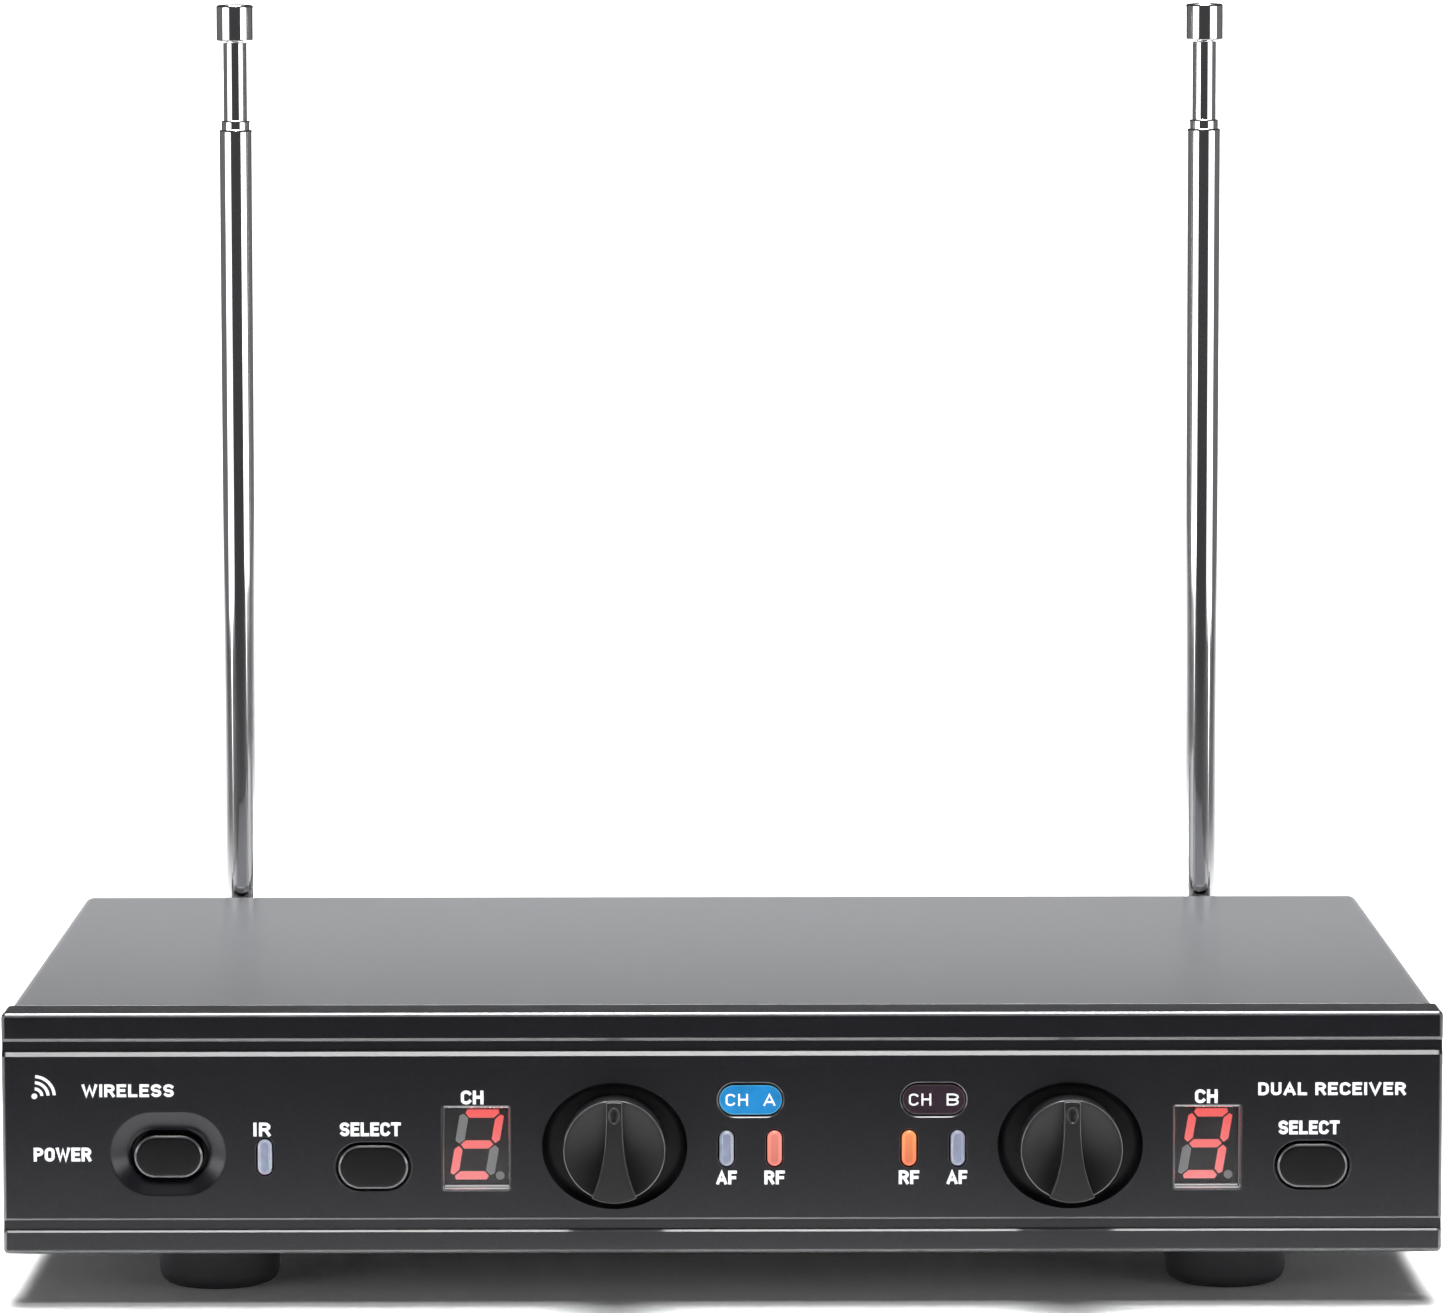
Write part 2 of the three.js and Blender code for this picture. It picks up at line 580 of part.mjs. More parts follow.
// ---------------------------------------------------------------- the assembly
const receiver = new THREE.Group();
const unit = new THREE.Group(); // the panel frame
unit.position.set(0, FRONT, FOOT.height);
receiver.add(unit);

unit.add(node("front_panel", frontPanel(), MATERIAL.panel));
unit.add(node("top_cover", topCover(), MATERIAL.cover));
unit.add(node("chassis", chassis(), MATERIAL.chassis));

for (const [sideName, side] of Object.entries(SIDES)) {
  for (const end of ["front", "back"]) {
    const piece = node(`foot_${end}_${sideName}`, foot(), MATERIAL.rubber);
    piece.position.set(side * FOOT.x, FOOT[end], 0);
    unit.add(piece);
  }
}

for (const { side, y, name } of SCREWS) {
  const sideName = side < 0 ? "left" : "right";
  unit.add(node(`cover_screw_${name}_${sideName}`, coverScrew(side, y), MATERIAL.chassis));
}

const powerStem = [POWER.front, POWER_STEM.flange, POWER_STEM.end];
unit.add(node("power_button", pushButton(POWER.at, POWER.cap, powerStem, POWER_STEM.width), MATERIAL.control));
const powerSwitch = pushSwitch(POWER.at, POWER_STEM.body, POWER_STEM.switchFront, POWER_STEM.width);
unit.add(node("power_switch", powerSwitch, MATERIAL.socket));

for (const channel of ["a", "b"]) {
  const stem = [-SELECT.proud, SELECT_STEM.flange, SELECT_STEM.end];
  const button = pushButton(SELECT[channel], SELECT.cap, stem, SELECT_STEM.width);
  const contact = pushSwitch(SELECT[channel], SELECT_STEM.body, SELECT_STEM.switchFront, SELECT_STEM.width);
  const badgeLook = channel === "a" ? MATERIAL.badgeA : MATERIAL.badgeB;
  unit.add(
    node(`select_button_${channel}`, button, MATERIAL.control),
    node(`select_switch_${channel}`, contact, MATERIAL.socket),
    node(`level_knob_${channel}`, levelKnob(KNOB[channel]), MATERIAL.control),
    node(`pot_shaft_${channel}`, potShaft(KNOB[channel]), MATERIAL.nickel),
    node(`level_pot_${channel}`, levelPot(KNOB[channel]), MATERIAL.nickel),
    node(`display_window_${channel}`, displayWindow(DISPLAY[channel]), MATERIAL.window),
    node(`display_module_${channel}`, displayModule(DISPLAY[channel]), MATERIAL.display),
    node(`channel_badge_${channel}`, badge(BADGE[channel]), badgeLook),
    node(`radio_shield_${channel}`, radioShield(channel === "a" ? -1 : 1), MATERIAL.nickel),
    node(`xlr_output_${channel}`, xlrOutput(XLR[channel]), MATERIAL.socket),
  );
}

for (const [name, { at, lit }] of Object.entries(LAMPS)) {
  unit.add(node(name, lamp(at), lit ? MATERIAL.lampLit : MATERIAL.lampOff));
}

unit.add(node("front_board", frontBoard(), MATERIAL.board));
unit.add(node("main_board", mainBoard(), MATERIAL.board));
unit.add(node("board_ribbon", boardRibbon(), MATERIAL.ribbon));
unit.add(node("mix_output_jack", outputJack(), MATERIAL.socket));
unit.add(node("jack_nut", jackNut(), MATERIAL.nickel));
unit.add(node("power_inlet", powerInlet(), MATERIAL.socket));

for (const [sideName, side] of Object.entries(SIDES)) {
  const mast = new THREE.Group();
  mast.position.set(side * MAST.x, BACK + MAST.standoff, MAST.z);
  mast.add(
    node(`antenna_bush_${sideName}`, antennaBush(), MATERIAL.nickel),
    node(`antenna_fork_${sideName}`, antennaFork(), MATERIAL.chrome),
    node(`fold_pin_${sideName}`, foldPin(), MATERIAL.nickel),
    node(`outer_tube_${sideName}`, outerTube(), MATERIAL.chrome),
    node(`middle_tube_${sideName}`, slidingTube(SECTIONS.middle), MATERIAL.chrome),
    node(`inner_tube_${sideName}`, slidingTube(SECTIONS.inner), MATERIAL.chrome),
    node(`tip_rod_${sideName}`, tipRod(), MATERIAL.chrome),
  );
  unit.add(mast);
  unit.add(node(`antenna_lead_${sideName}`, antennaLead(side), MATERIAL.socket));
}

export default receiver;
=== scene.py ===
"""Wireless receiver unit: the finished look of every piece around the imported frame."""
import math

import bmesh
import bpy
from mathutils import Euler, Matrix, Vector


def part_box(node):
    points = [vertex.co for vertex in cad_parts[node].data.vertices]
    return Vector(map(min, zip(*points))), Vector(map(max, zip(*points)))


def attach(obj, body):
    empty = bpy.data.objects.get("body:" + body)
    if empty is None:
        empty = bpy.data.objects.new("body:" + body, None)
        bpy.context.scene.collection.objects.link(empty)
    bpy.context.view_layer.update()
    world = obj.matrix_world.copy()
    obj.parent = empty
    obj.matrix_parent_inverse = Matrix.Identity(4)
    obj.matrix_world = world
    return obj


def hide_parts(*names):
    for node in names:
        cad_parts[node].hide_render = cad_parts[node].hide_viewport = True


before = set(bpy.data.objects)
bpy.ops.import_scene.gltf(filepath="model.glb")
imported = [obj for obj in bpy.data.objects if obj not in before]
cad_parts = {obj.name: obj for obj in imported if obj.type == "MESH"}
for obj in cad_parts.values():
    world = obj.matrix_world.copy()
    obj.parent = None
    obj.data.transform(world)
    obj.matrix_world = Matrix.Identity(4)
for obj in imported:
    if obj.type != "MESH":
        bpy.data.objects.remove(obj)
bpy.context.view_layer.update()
scene = bpy.context.scene

# ---------------------------------------------------------------- places
# Shapes are drawn in millimetres in the panel frame: x runs right from the middle of the front panel, depth
# runs back from its face and height runs up from its bottom edge. A finished piece is turned to metres.
MM = 0.001
PANEL_LOW, PANEL_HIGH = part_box("front_panel")
TO_WORLD = Matrix.Translation((0, PANEL_LOW.y, PANEL_LOW.z)) @ Matrix.Scale(MM, 4)
TO_PANEL = TO_WORLD.inverted()


def extent(node):
    """The lowest and highest corners of a CAD node in the panel frame."""
    low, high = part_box(node)
    return TO_PANEL @ low, TO_PANEL @ high


def centre(node):
    """The middle of a CAD node as x and height."""
    low, high = extent(node)
    return (low.x + high.x) / 2, (low.z + high.z) / 2


WIDTH = extent("front_panel")[1].x * 2
HEIGHT = extent("front_panel")[1].z
PANEL_DEPTH = extent("front_panel")[1].y
CHANNELS = ("a", "b")
SIDES = {"left": -1, "right": 1}
STEPS = 8  # steps on a quarter circle
TURN = 64  # sides of a turned piece


def quarter(steps):
    """The angles from 0 to a right angle in even steps."""
    return [math.pi / 2 * i / steps for i in range(steps + 1)]


# ---------------------------------------------------------------- outlines, as x and height about a middle


def arc(cx, cz, radius, start, end, steps=STEPS):
    """Points of an arc about a middle, from one angle to another in degrees."""
    angles = [math.radians(start + (end - start) * i / steps) for i in range(steps + 1)]
    return [(cx + radius * math.cos(a), cz + radius * math.sin(a)) for a in angles]


def pill(width, height):
    """Two half circles joined by straight sides, as a function of how far the outline is drawn inwards."""
    def outline(inset):
        w, h = width / 2 - inset, height / 2 - inset
        r = min(w, h)
        if w > h:
            return arc(w - r, 0, r, -90, 90, 2 * STEPS) + arc(r - w, 0, r, 90, 270, 2 * STEPS)
        return arc(0, h - r, r, 0, 180, 2 * STEPS) + arc(0, r - h, r, 180, 360, 2 * STEPS)
    return outline


def rounded(width, height, corner):
    """A rectangle with rounded corners."""
    def outline(inset):
        r = max(corner - inset, 0.02)
        x, z = width / 2 - inset - r, height / 2 - inset - r
        quarters = ((x, z, 0), (-x, z, 90), (-x, -z, 180), (x, -z, 270))
        return [p for cx, cz, start in quarters for p in arc(cx, cz, r, start, start + 90, STEPS // 2)]
    return outline


def ellipse(width, height, sides=2 * TURN):
    def outline(inset):
        turns = [2 * math.pi * i / sides for i in range(sides)]
        return [((width / 2 - inset) * math.cos(a), (height / 2 - inset) * math.sin(a)) for a in turns]
    return outline


def circle(radius, sides=TURN):
    return ellipse(2 * radius, 2 * radius, sides)


def filleted(corners, steps=4):
    """A closed outline from corners of [x, y, radius], each rounded by its own radius."""
    points = []
    for i, (x, y, radius) in enumerate(corners):
        here = Vector((x, y))
        before = (Vector(corners[i - 1][:2]) - here).normalized()
        after = (Vector(corners[(i + 1) % len(corners)][:2]) - here).normalized()
        half = before.angle(after) / 2
        middle = here + (before + after).normalized() * radius / math.sin(half)
        first = here + before * radius / math.tan(half) - middle
        last = here + after * radius / math.tan(half) - middle
        for k in range(steps + 1):
            way = first.lerp(last, k / steps).normalized() * radius
            points.append(tuple(middle + way))
    return points


# ---------------------------------------------------------------- solids


def loft(rings, looped=False):
    """A closed skin over rings of points. A looped one joins its last ring to its first and has no ends."""
    bm = bmesh.new()
    rows = [[bm.verts.new(p) for p in ring] for ring in rings]
    pairs = list(zip(rows, rows[1:])) + ([(rows[-1], rows[0])] if looped else [])
    for near, far in pairs:
        for i in range(len(near)):
            j = (i + 1) % len(near)
            bm.faces.new((near[i], near[j], far[j], far[i]))
    if not looped:
        bm.faces.new(rows[0])
        bm.faces.new(rows[-1])
    bmesh.ops.recalc_face_normals(bm, faces=bm.faces)
    return bm


def stack(outline, at, levels):
    """A solid along the depth, from levels of (depth, inset) of one outline."""
    return loft([[(at[0] + x, depth, at[1] + z) for x, z in outline(inset)] for depth, inset in levels])


def edge(depth, radius, back=False, steps=5):
    """Levels that round the edge between an end at this depth and the sides."""
    sign = -1 if back else 1
    turns = quarter(steps)
    levels = [(depth + sign * radius * (1 - math.cos(a)), radius * (1 - math.sin(a))) for a in turns]
    return levels[::-1] if back else levels


def bar(outline, at, front, back, radius):
    """A solid with both ends rounded."""
    return stack(outline, at, edge(front, radius) + edge(back, radius, True))


def bore(outline, at, front, back, rim):
    """A cutter for a hole whose front rim has a flat bevel."""
    return stack(outline, at, [(front - 1, -rim), (front, -rim), (front + 0.8 * rim, 0), (back, 0)])


def back_bore(outline, at, front, back, radius):
    """A cutter for a hole whose back rim is rounded."""
    rim = [(back - radius * (1 - math.cos(a)), radius * (math.sin(a) - 1)) for a in quarter(5)]
    return stack(outline, at, [(front, 0)] + rim[::-1] + [(back + 1, -radius)])


def turned(section, at, axis="depth", sides=TURN):
    """Rings of a section of [radius, distance] points turned about an axis through a point."""
    rings = []
    for radius, along in section:
        ring = circle(max(radius, 0.001), sides)(0)
        if axis == "depth":
            rings.append([(at[0] + x, at[1] + along, at[2] + z) for x, z in ring])
        elif axis == "height":
            rings.append([(at[0] + x, at[1] + y, at[2] + along) for x, y in ring])
        else:
            rings.append([(at[0] + along, at[1] + y, at[2] + z) for y, z in ring])
    return rings


def spun(section, at, sides=TURN, looped=False):
    """A solid turned about the depth, from [radius, depth] points about a place in x and height."""
    return loft(turned(section, (at[0], 0, at[1]), "depth", sides), looped)


def merge(*parts):
    """Solids put together in one mesh without joining their skins."""
    whole = bmesh.new()
    for part in parts:
        mesh = bpy.data.meshes.new("part")
        part.to_mesh(mesh)
        part.free()
        whole.from_mesh(mesh)
        bpy.data.meshes.remove(mesh)
    return whole


def scratch(bm):
    """A short-lived object for a modifier to work on."""
    mesh = bpy.data.meshes.new("scratch")
    bm.to_mesh(mesh)
    bm.free()
    obj = bpy.data.objects.new("scratch", mesh)
    scene.collection.objects.link(obj)
    return obj


def combine(target, tools, operation):
    """Cuts the tools out of the target, or joins them to it, one after another."""
    body = scratch(target)
    others = [scratch(tool) for tool in tools]
    for other in others:
        modifier = body.modifiers.new("combine", "BOOLEAN")
        modifier.operation = operation
        modifier.solver = "EXACT"
        modifier.object = other
    graph = bpy.context.evaluated_depsgraph_get()
    made = bpy.data.meshes.new_from_object(body.evaluated_get(graph))
    bm = bmesh.new()
    bm.from_mesh(made)
    bpy.data.meshes.remove(made)
    for obj in [body] + others:
        mesh = obj.data
        bpy.data.objects.remove(obj)
        bpy.data.meshes.remove(mesh)
    bmesh.ops.remove_doubles(bm, verts=bm.verts, dist=1e-4)
    return bm


def cut(target, *tools):
    return combine(target, tools, "DIFFERENCE")


def join(target, *parts):
    return combine(target, parts, "UNION")


def mark(bm, test, index=1):
    """Gives another material to the faces that pass a test of their middle and normal."""
    bm.normal_update()
    for face in bm.faces:
        if test(face.calc_center_median(), face.normal):
            face.material_index = index


def piece(name, bm, look, body="housing", replaces=(), sharp=32, more_looks=()):
    """A finished piece: shaded, given its material and body, and standing for its CAD nodes."""
    mesh = bpy.data.meshes.new(name)
    bm.to_mesh(mesh)
    bm.free()
    mesh.transform(TO_WORLD)
    for material in (look,) + tuple(more_looks):
        mesh.materials.append(material)
    obj = bpy.data.objects.new(name, mesh)
    scene.collection.objects.link(obj)
    mesh.shade_smooth()
    mesh.set_sharp_from_angle(angle=math.radians(sharp))
    normals = obj.modifiers.new("even_normals", "WEIGHTED_NORMAL")
    normals.keep_sharp = True
    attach(obj, body)
    if replaces:
        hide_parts(*replaces)
    return obj


# ---------------------------------------------------------------- materials


class Look:
    """A material's node tree, with short ways to add and join its nodes."""

    def __init__(self, name):
        self.material = bpy.data.materials.new(name)
        self.material.use_nodes = True
        self.tree = self.material.node_tree
        self.shader = self.tree.nodes["Principled BSDF"]
        self.place = self.tree.nodes.new("ShaderNodeTexCoord").outputs["Object"]

    def node(self, kind, inputs=(), **settings):
        made = self.tree.nodes.new(kind)
        for key, value in settings.items():
            setattr(made, key, value)
        for key, value in dict(inputs).items():
            if isinstance(value, bpy.types.NodeSocket):
                self.tree.links.new(value, made.inputs[key])
            else:
                made.inputs[key].default_value = value
        return made

    def set(self, **values):
        for key, value in values.items():
            socket = self.shader.inputs[key.replace("_", " ")]
            if isinstance(value, bpy.types.NodeSocket):
                self.tree.links.new(value, socket)
            else:
                socket.default_value = value
        return self

    def noise(self, size, detail=2.0, stretch=(1, 1, 1)):
        """Noise whose features are about this many millimetres wide."""
        scaled = self.node("ShaderNodeMapping", {"Vector": self.place, "Scale": stretch})
        inputs = {"Vector": scaled.outputs[0], "Scale": 1 / (size * MM), "Detail": detail}
        return self.node("ShaderNodeTexNoise", inputs).outputs["Fac"]

    def between(self, factor, low, high, low_in=0.3, high_in=0.7):
        """Maps a noise to a range of values."""
        inputs = {"Value": factor, "From Min": low_in, "From Max": high_in, "To Min": low, "To Max": high}
        return self.node("ShaderNodeMapRange", inputs).outputs[0]

    def ramp(self, factor, *stops):
        """Maps a factor to colours, from stops of (position, colour)."""
        made = self.node("ShaderNodeValToRGB", {"Fac": factor})
        elements = made.color_ramp.elements
        while len(elements) < len(stops):
            elements.new(0.5)
        for element, (position, colour) in zip(elements, stops):
            element.position = position
            element.color = (*colour, 1)
        return made.outputs[0]

    def bump(self, height, depth, strength=1.0, under=None):
        """Bump of this many millimetres, on top of another bump if one is given."""
        inputs = {"Height": height, "Distance": depth * MM, "Strength": strength}
        if under is not None:
            inputs["Normal"] = under
        return self.node("ShaderNodeBump", inputs).outputs[0]


def grey(value, tint=1.0):
    return (value, value, value * tint)


def shade(colour, by):
    return tuple(c * by for c in colour)


def moulded_plastic(name, colour, roughness):
    """Black moulded plastic with a spark-eroded grain, and a slow change of gloss over it."""
    look = Look(name)
    fine = look.noise(0.35, 3)
    slow = look.noise(25, 0)
    look.set(
        Base_Color=look.ramp(fine, (0.3, shade(colour, 0.75)), (0.7, shade(colour, 1.3))),
        Roughness=look.between(slow, roughness - 0.015, roughness + 0.015, 0.1, 0.9),
        Normal=look.bump(fine, 0.01, 0.4),
    )
    return look.material


def powder_coat(name, colour, roughness):
    """Fine powder coat on sheet metal: an even speckle over a faint orange peel."""
    look = Look(name)
    speckle = look.noise(0.4, 3)
    peel = look.noise(1.3, 3)
    look.set(
        Base_Color=look.ramp(speckle, (0.35, shade(colour, 0.5)), (0.65, shade(colour, 1.6))),
        Roughness=look.between(speckle, roughness - 0.06, roughness + 0.06),
        Normal=look.bump(speckle, 0.016, 0.7, look.bump(peel, 0.03, 0.5)),
    )
    return look.material


def satin_plastic(name, colour, roughness, shine=0.5):
    """Smooth moulded plastic of knobs and buttons."""
    look = Look(name)
    fine = look.noise(0.12, 2)
    slow = look.noise(4, 2)
    look.set(
        Base_Color=look.ramp(slow, (0.3, shade(colour, 0.85)), (0.7, shade(colour, 1.15))),
        Roughness=look.between(fine, roughness - 0.04, roughness + 0.04),
        Normal=look.bump(fine, 0.003, 0.5),
    )
    look.set(**{"Specular IOR Level": shine})
    return look.material


def rubber(name, colour):
    """Matt moulded rubber."""
    look = Look(name)
    fine = look.noise(0.25, 4)
    look.set(
        Base_Color=look.ramp(fine, (0.3, shade(colour, 0.7)), (0.7, shade(colour, 1.3))),
        Roughness=look.between(fine, 0.62, 0.8),
        Normal=look.bump(fine, 0.03, 0.8),
    )
    return look.material


def plated(name, colour, roughness, brushed=0.0):
    """Plated metal: nearly smooth, with very fine lines along it where it is brushed."""
    look = Look(name)
    lines = look.noise(0.5, 3, (8, 8, 0.3))
    haze = look.noise(6, 3)
    look.set(
        Base_Color=look.ramp(haze, (0.2, shade(colour, 0.93)), (0.8, colour)),
        Metallic=1.0,
        Roughness=look.between(haze, roughness * 0.7, roughness * 1.3),
        Normal=look.bump(lines, 0.001 + 0.004 * brushed, 0.2 + 0.5 * brushed),
    )
    return look.material


def clear_plastic(name):
    """Polished clear plastic with a faint grey tint."""
    look = Look(name)
    haze = look.noise(5, 2)
    look.set(
        Base_Color=look.ramp(haze, (0.0, (0.9, 0.9, 0.91)), (1.0, (0.95, 0.95, 0.96))),
        Roughness=look.between(haze, 0.0, 0.03),
        IOR=1.49,
    )
    look.set(**{"Transmission Weight": 1.0})
    return look.material


def frosted_plastic(name, glow, value=0.78):
    """The sawn sides of a clear block, with a painted glow: they give off light although they are no lamp.
    """
    look = Look(name)
    fine = look.noise(0.2, 3)
    look.set(
        Base_Color=look.ramp(fine, (0.2, grey(value * 0.9, 1.02)), (0.8, grey(value * 1.1, 1.02))),
        Roughness=look.between(fine, 0.3, 0.5),
        Normal=look.bump(fine, 0.01, 0.4),
    )
    light = look.ramp(fine, (0.2, (0.9, 0.88, 0.9)), (0.8, (1, 0.97, 1)))
    look.set(**{"Emission Color": light, "Emission Strength": glow})
    return look.material


def glowing(name, low, high, strength, at, reach, roughness=0.4):
    """A lit lamp or segment, whose colour changes from its bottom to its top."""
    look = Look(name)
    split = look.node("ShaderNodeSeparateXYZ", {"Vector": look.place})
    bottom = (TO_WORLD @ Vector((0, 0, at[1] - reach))).z
    top = (TO_WORLD @ Vector((0, 0, at[1] + reach))).z
    rise = look.between(split.outputs["Z"], 0, 1, bottom, top)
    colour = look.ramp(rise, (0.0, low), (1.0, high))
    look.set(Base_Color=shade(high, 0.12) + (1,), Roughness=roughness)
    look.set(**{"Emission Color": colour, "Emission Strength": strength})
    return look.material


def printed(name, colour, roughness=0.45, glow=0.0):
    """Screen-printed ink with a slightly uneven film. A glow can be painted on: the ink then gives off light
    although it is no lamp.
    """
    look = Look(name)
    film = look.noise(0.15, 3)
    look.set(
        Base_Color=look.ramp(film, (0.3, shade(colour, 0.93)), (0.7, colour)),
        Roughness=look.between(film, roughness, roughness + 0.1),
        Normal=look.bump(film, 0.004, 0.4),
    )
    if glow:
        look.set(**{"Emission Color": (*colour, 1), "Emission Strength": glow})
    return look.material


def domed_lens(name, colour):
    """A milky lens: soft colour inside, polished on top."""
    look = Look(name)
    cloud = look.noise(1.2, 2)
    look.set(
        Base_Color=look.ramp(cloud, (0.3, shade(colour, 0.85)), (0.7, colour)),
        Roughness=look.between(cloud, 0.16, 0.24),
    )
    look.set(**{"Subsurface Weight": 0.3, "Subsurface Scale": 0.001})
    look.set(**{"Coat Weight": 0.6, "Coat Roughness": 0.05})
    return look.material


def circuit_board(name):
    """Green solder mask over copper tracks."""
    look = Look(name)
    bricks = look.node("ShaderNodeTexBrick", {
        "Vector": look.place, "Scale": 260.0, "Mortar Size": 0.012, "Brick Width": 0.9, "Row Height": 0.5,
        "Color1": (0.012, 0.09, 0.035, 1),
        "Color2": (0.016, 0.12, 0.045, 1),
        "Mortar": (0.05, 0.22, 0.09, 1),
    })
    look.set(
        Base_Color=bricks.outputs["Color"],
        Roughness=look.between(look.noise(3, 2), 0.25, 0.4),
        Normal=look.bump(bricks.outputs["Fac"], 0.03, 0.6),
    )
    return look.material


def flat_cable(name):
    """Grey ribbon cable with a groove between its cores."""
    look = Look(name)
    waves = look.node("ShaderNodeTexWave", {"Vector": look.place, "Scale": 125.0}, bands_direction="X")
    look.set(
        Base_Color=look.ramp(waves.outputs["Fac"], (0.0, grey(0.16)), (0.5, grey(0.32))),
        Roughness=look.between(look.noise(1, 2), 0.45, 0.6),
        Normal=look.bump(waves.outputs["Fac"], 0.2, 0.8),
    )
    return look.material


PANEL_LOOK = moulded_plastic("panel_plastic", (0.008, 0.008, 0.0115), 0.29)
COVER_LOOK = powder_coat("cover_paint", (0.06, 0.061, 0.065), 0.4)
CHASSIS_LOOK = powder_coat("chassis_paint", (0.03, 0.03, 0.032), 0.42)
CONTROL_LOOK = satin_plastic("control_plastic", (0.006, 0.006, 0.007), 0.24, 0.3)
KNOB_LOOK = satin_plastic("knob_plastic", (0.011, 0.011, 0.012), 0.34)
# A paler, glossier copy of the black plastic for bevels, lips and rims: painted highlight where an edge
# catches the light.
PAINTED_HIGHLIGHT_LOOK = satin_plastic("painted_highlight_edge", (0.1, 0.1, 0.105), 0.16, 1.0)
# A darker, duller copy of the black plastic for the bowls round the knobs and the lens parts inside their
# holes: painted shade.
PAINTED_SHADE_LOOK = satin_plastic("painted_shade_plastic", (0.006, 0.006, 0.007), 0.5, 0.3)
# A copy of the panel plastic for its top face only, paler but almost without reflection, which sets how
# bright the top reads: painted shade.
TOP_SHADE_LOOK = satin_plastic("panel_top_painted_shade", (0.02, 0.02, 0.021), 0.6, 0.02)
SOCKET_LOOK = satin_plastic("socket_plastic", (0.016, 0.016, 0.017), 0.34)
RUBBER_LOOK = rubber("foot_rubber", (0.02, 0.02, 0.023))
SCREW_LOOK = plated("screw_black", (0.05, 0.05, 0.055), 0.32, 0.5)
CHROME_LOOK = plated("chrome", (0.8, 0.8, 0.81), 0.06)
NICKEL_LOOK = plated("nickel", (0.62, 0.6, 0.56), 0.24, 0.6)
CLEAR_LOOK = clear_plastic("window_clear")
# The window's top, bottom and side faces glow: painted light.
FROST_GLOW_LOOK = frosted_plastic("window_ends_painted_glow", 0.36)
WINDOW_SIDE_GLOW_LOOK = frosted_plastic("window_sides_painted_glow", 0.1, 0.15)
DISPLAY_LOOK = satin_plastic("display_face", (0.016, 0.012, 0.013), 0.45)
UNLIT_LOOK = printed("segment_unlit", (0.62, 0.64, 0.64))
UNLIT_RIM_LOOK = printed("segment_rim", (0.92, 0.94, 0.94))
# White ink with a painted glow, so that it reads brighter than the light makes it.
WHITE_GLOW_LOOK = printed("print_white", (0.92, 0.93, 0.94), 0.45, 0.35)
BOARD_LOOK = circuit_board("board_green")
RIBBON_LOOK = flat_cable("ribbon_grey")
LAMP_OFF_LOOK = domed_lens("lamp_off", (0.33, 0.38, 0.52))
# A paler copy of the lens colour for its bevelled edge: painted highlight.
LAMP_HIGHLIGHT_LOOK = domed_lens("lamp_edge_painted_highlight", (0.5, 0.54, 0.66))
BADGE_BASE_LOOK = satin_plastic("badge_base", (0.008, 0.008, 0.01), 0.4, 0.3)

# ---------------------------------------------------------------- camera
# It stands a metre in front of the unit and a little above its cover, and looks slightly down.
CAMERA_PLACE = (-0.0014, -1.0145, 0.1888)
CAMERA_DOWN = 5.63
CAMERA_TURN = -0.091
CAMERA_ROLL = -0.082
CAMERA_LENS = 164.1
SENSOR = 36


def make_camera():
    data = bpy.data.cameras.new("camera")
    data.lens = CAMERA_LENS
    data.sensor_fit = "HORIZONTAL"
    data.sensor_width = SENSOR
    data.clip_start = 0.05
    data.clip_end = 30
    camera = bpy.data.objects.new("camera", data)
    aim = Euler((math.radians(90 - CAMERA_DOWN), 0, math.radians(CAMERA_TURN))).to_matrix()
    roll = Matrix.Rotation(math.radians(CAMERA_ROLL), 3, "Z")
    camera.matrix_world = Matrix.Translation(CAMERA_PLACE) @ (aim @ roll).to_4x4()
    scene.collection.objects.link(camera)
    scene.camera = camera


# ---------------------------------------------------------------- front panel
BEVEL = (0.22, 0.28)  # depth and height of the bevel that catches the light on a lip or a button
GROOVES = (
    {"top": 31.85, "bottom": 29.2, "depth": 0.77, "brow": (0.22, 0.45), "lip": (0.45, 0.6)},
    {"top": 5.35, "bottom": 3.25, "depth": 0.58, "brow": (0.12, 0.25), "lip": BEVEL},
)
PANEL_CORNER = 0.8
PANEL_EDGE = 0.75
PANEL_WALL = 2.4
PANEL_SIDE = 2.0
BOSS_DEPTH = 3.6  # of the thicker wall behind a dish
POWER_DISH = {"at": (-80.8, 14.85), "size": (17.15, 12.5), "depth": 1.6, "inset": 2.85}
RECESS = {"size": (21.2, 18.6), "depth": 2.0, "inset": 1.3}
SHAFT_HOLE = 4.1
RIM = 0.2
WINDOW_SHIFT = 0.1  # of a display's opening above the middle of its window's flange


def panel_profile(inset):
    """The panel's side outline as [depth, height], drawn inwards by an inset near its ends."""
    corners = [(PANEL_DEPTH, HEIGHT - inset, 0.02), (inset, HEIGHT - inset, PANEL_CORNER - inset)]
    for groove in GROOVES:
        top, bottom = groove["top"], groove["bottom"]
        brow, lip = groove["brow"], groove["lip"]
        floor = max(groove["depth"], inset + lip[0] + 0.05)
        corners += [
            (inset, top, 0.03),
            (inset + brow[0], top - brow[1], 0.03),
            (floor, top - brow[1] - 0.1, 0.02),
            (floor, bottom + lip[1] + 0.12, 0.05),
            (inset + lip[0], bottom + lip[1], 0.03),
            (inset, bottom, 0.03),
        ]
    corners += [(inset, inset, PANEL_CORNER - inset), (PANEL_DEPTH, inset, 0.02)]
    return filleted(corners, 5)


def button_size(node):
    """The width and height of a button's cap. Its flange behind the panel is wider."""
    low, high = extent(node)
    return high.x - low.x - 2.4, high.z - low.z - 2.2


def window_size(node):
    """The width and height of a display window. Its flange behind the panel is wider."""
    low, high = extent(node)
    return high.x - low.x - 1.6, high.z - low.z - 1.4


def badge_place(channel):
    x, z = centre(f"channel_badge_{channel}")
    return x, z + BADGE["shift"]


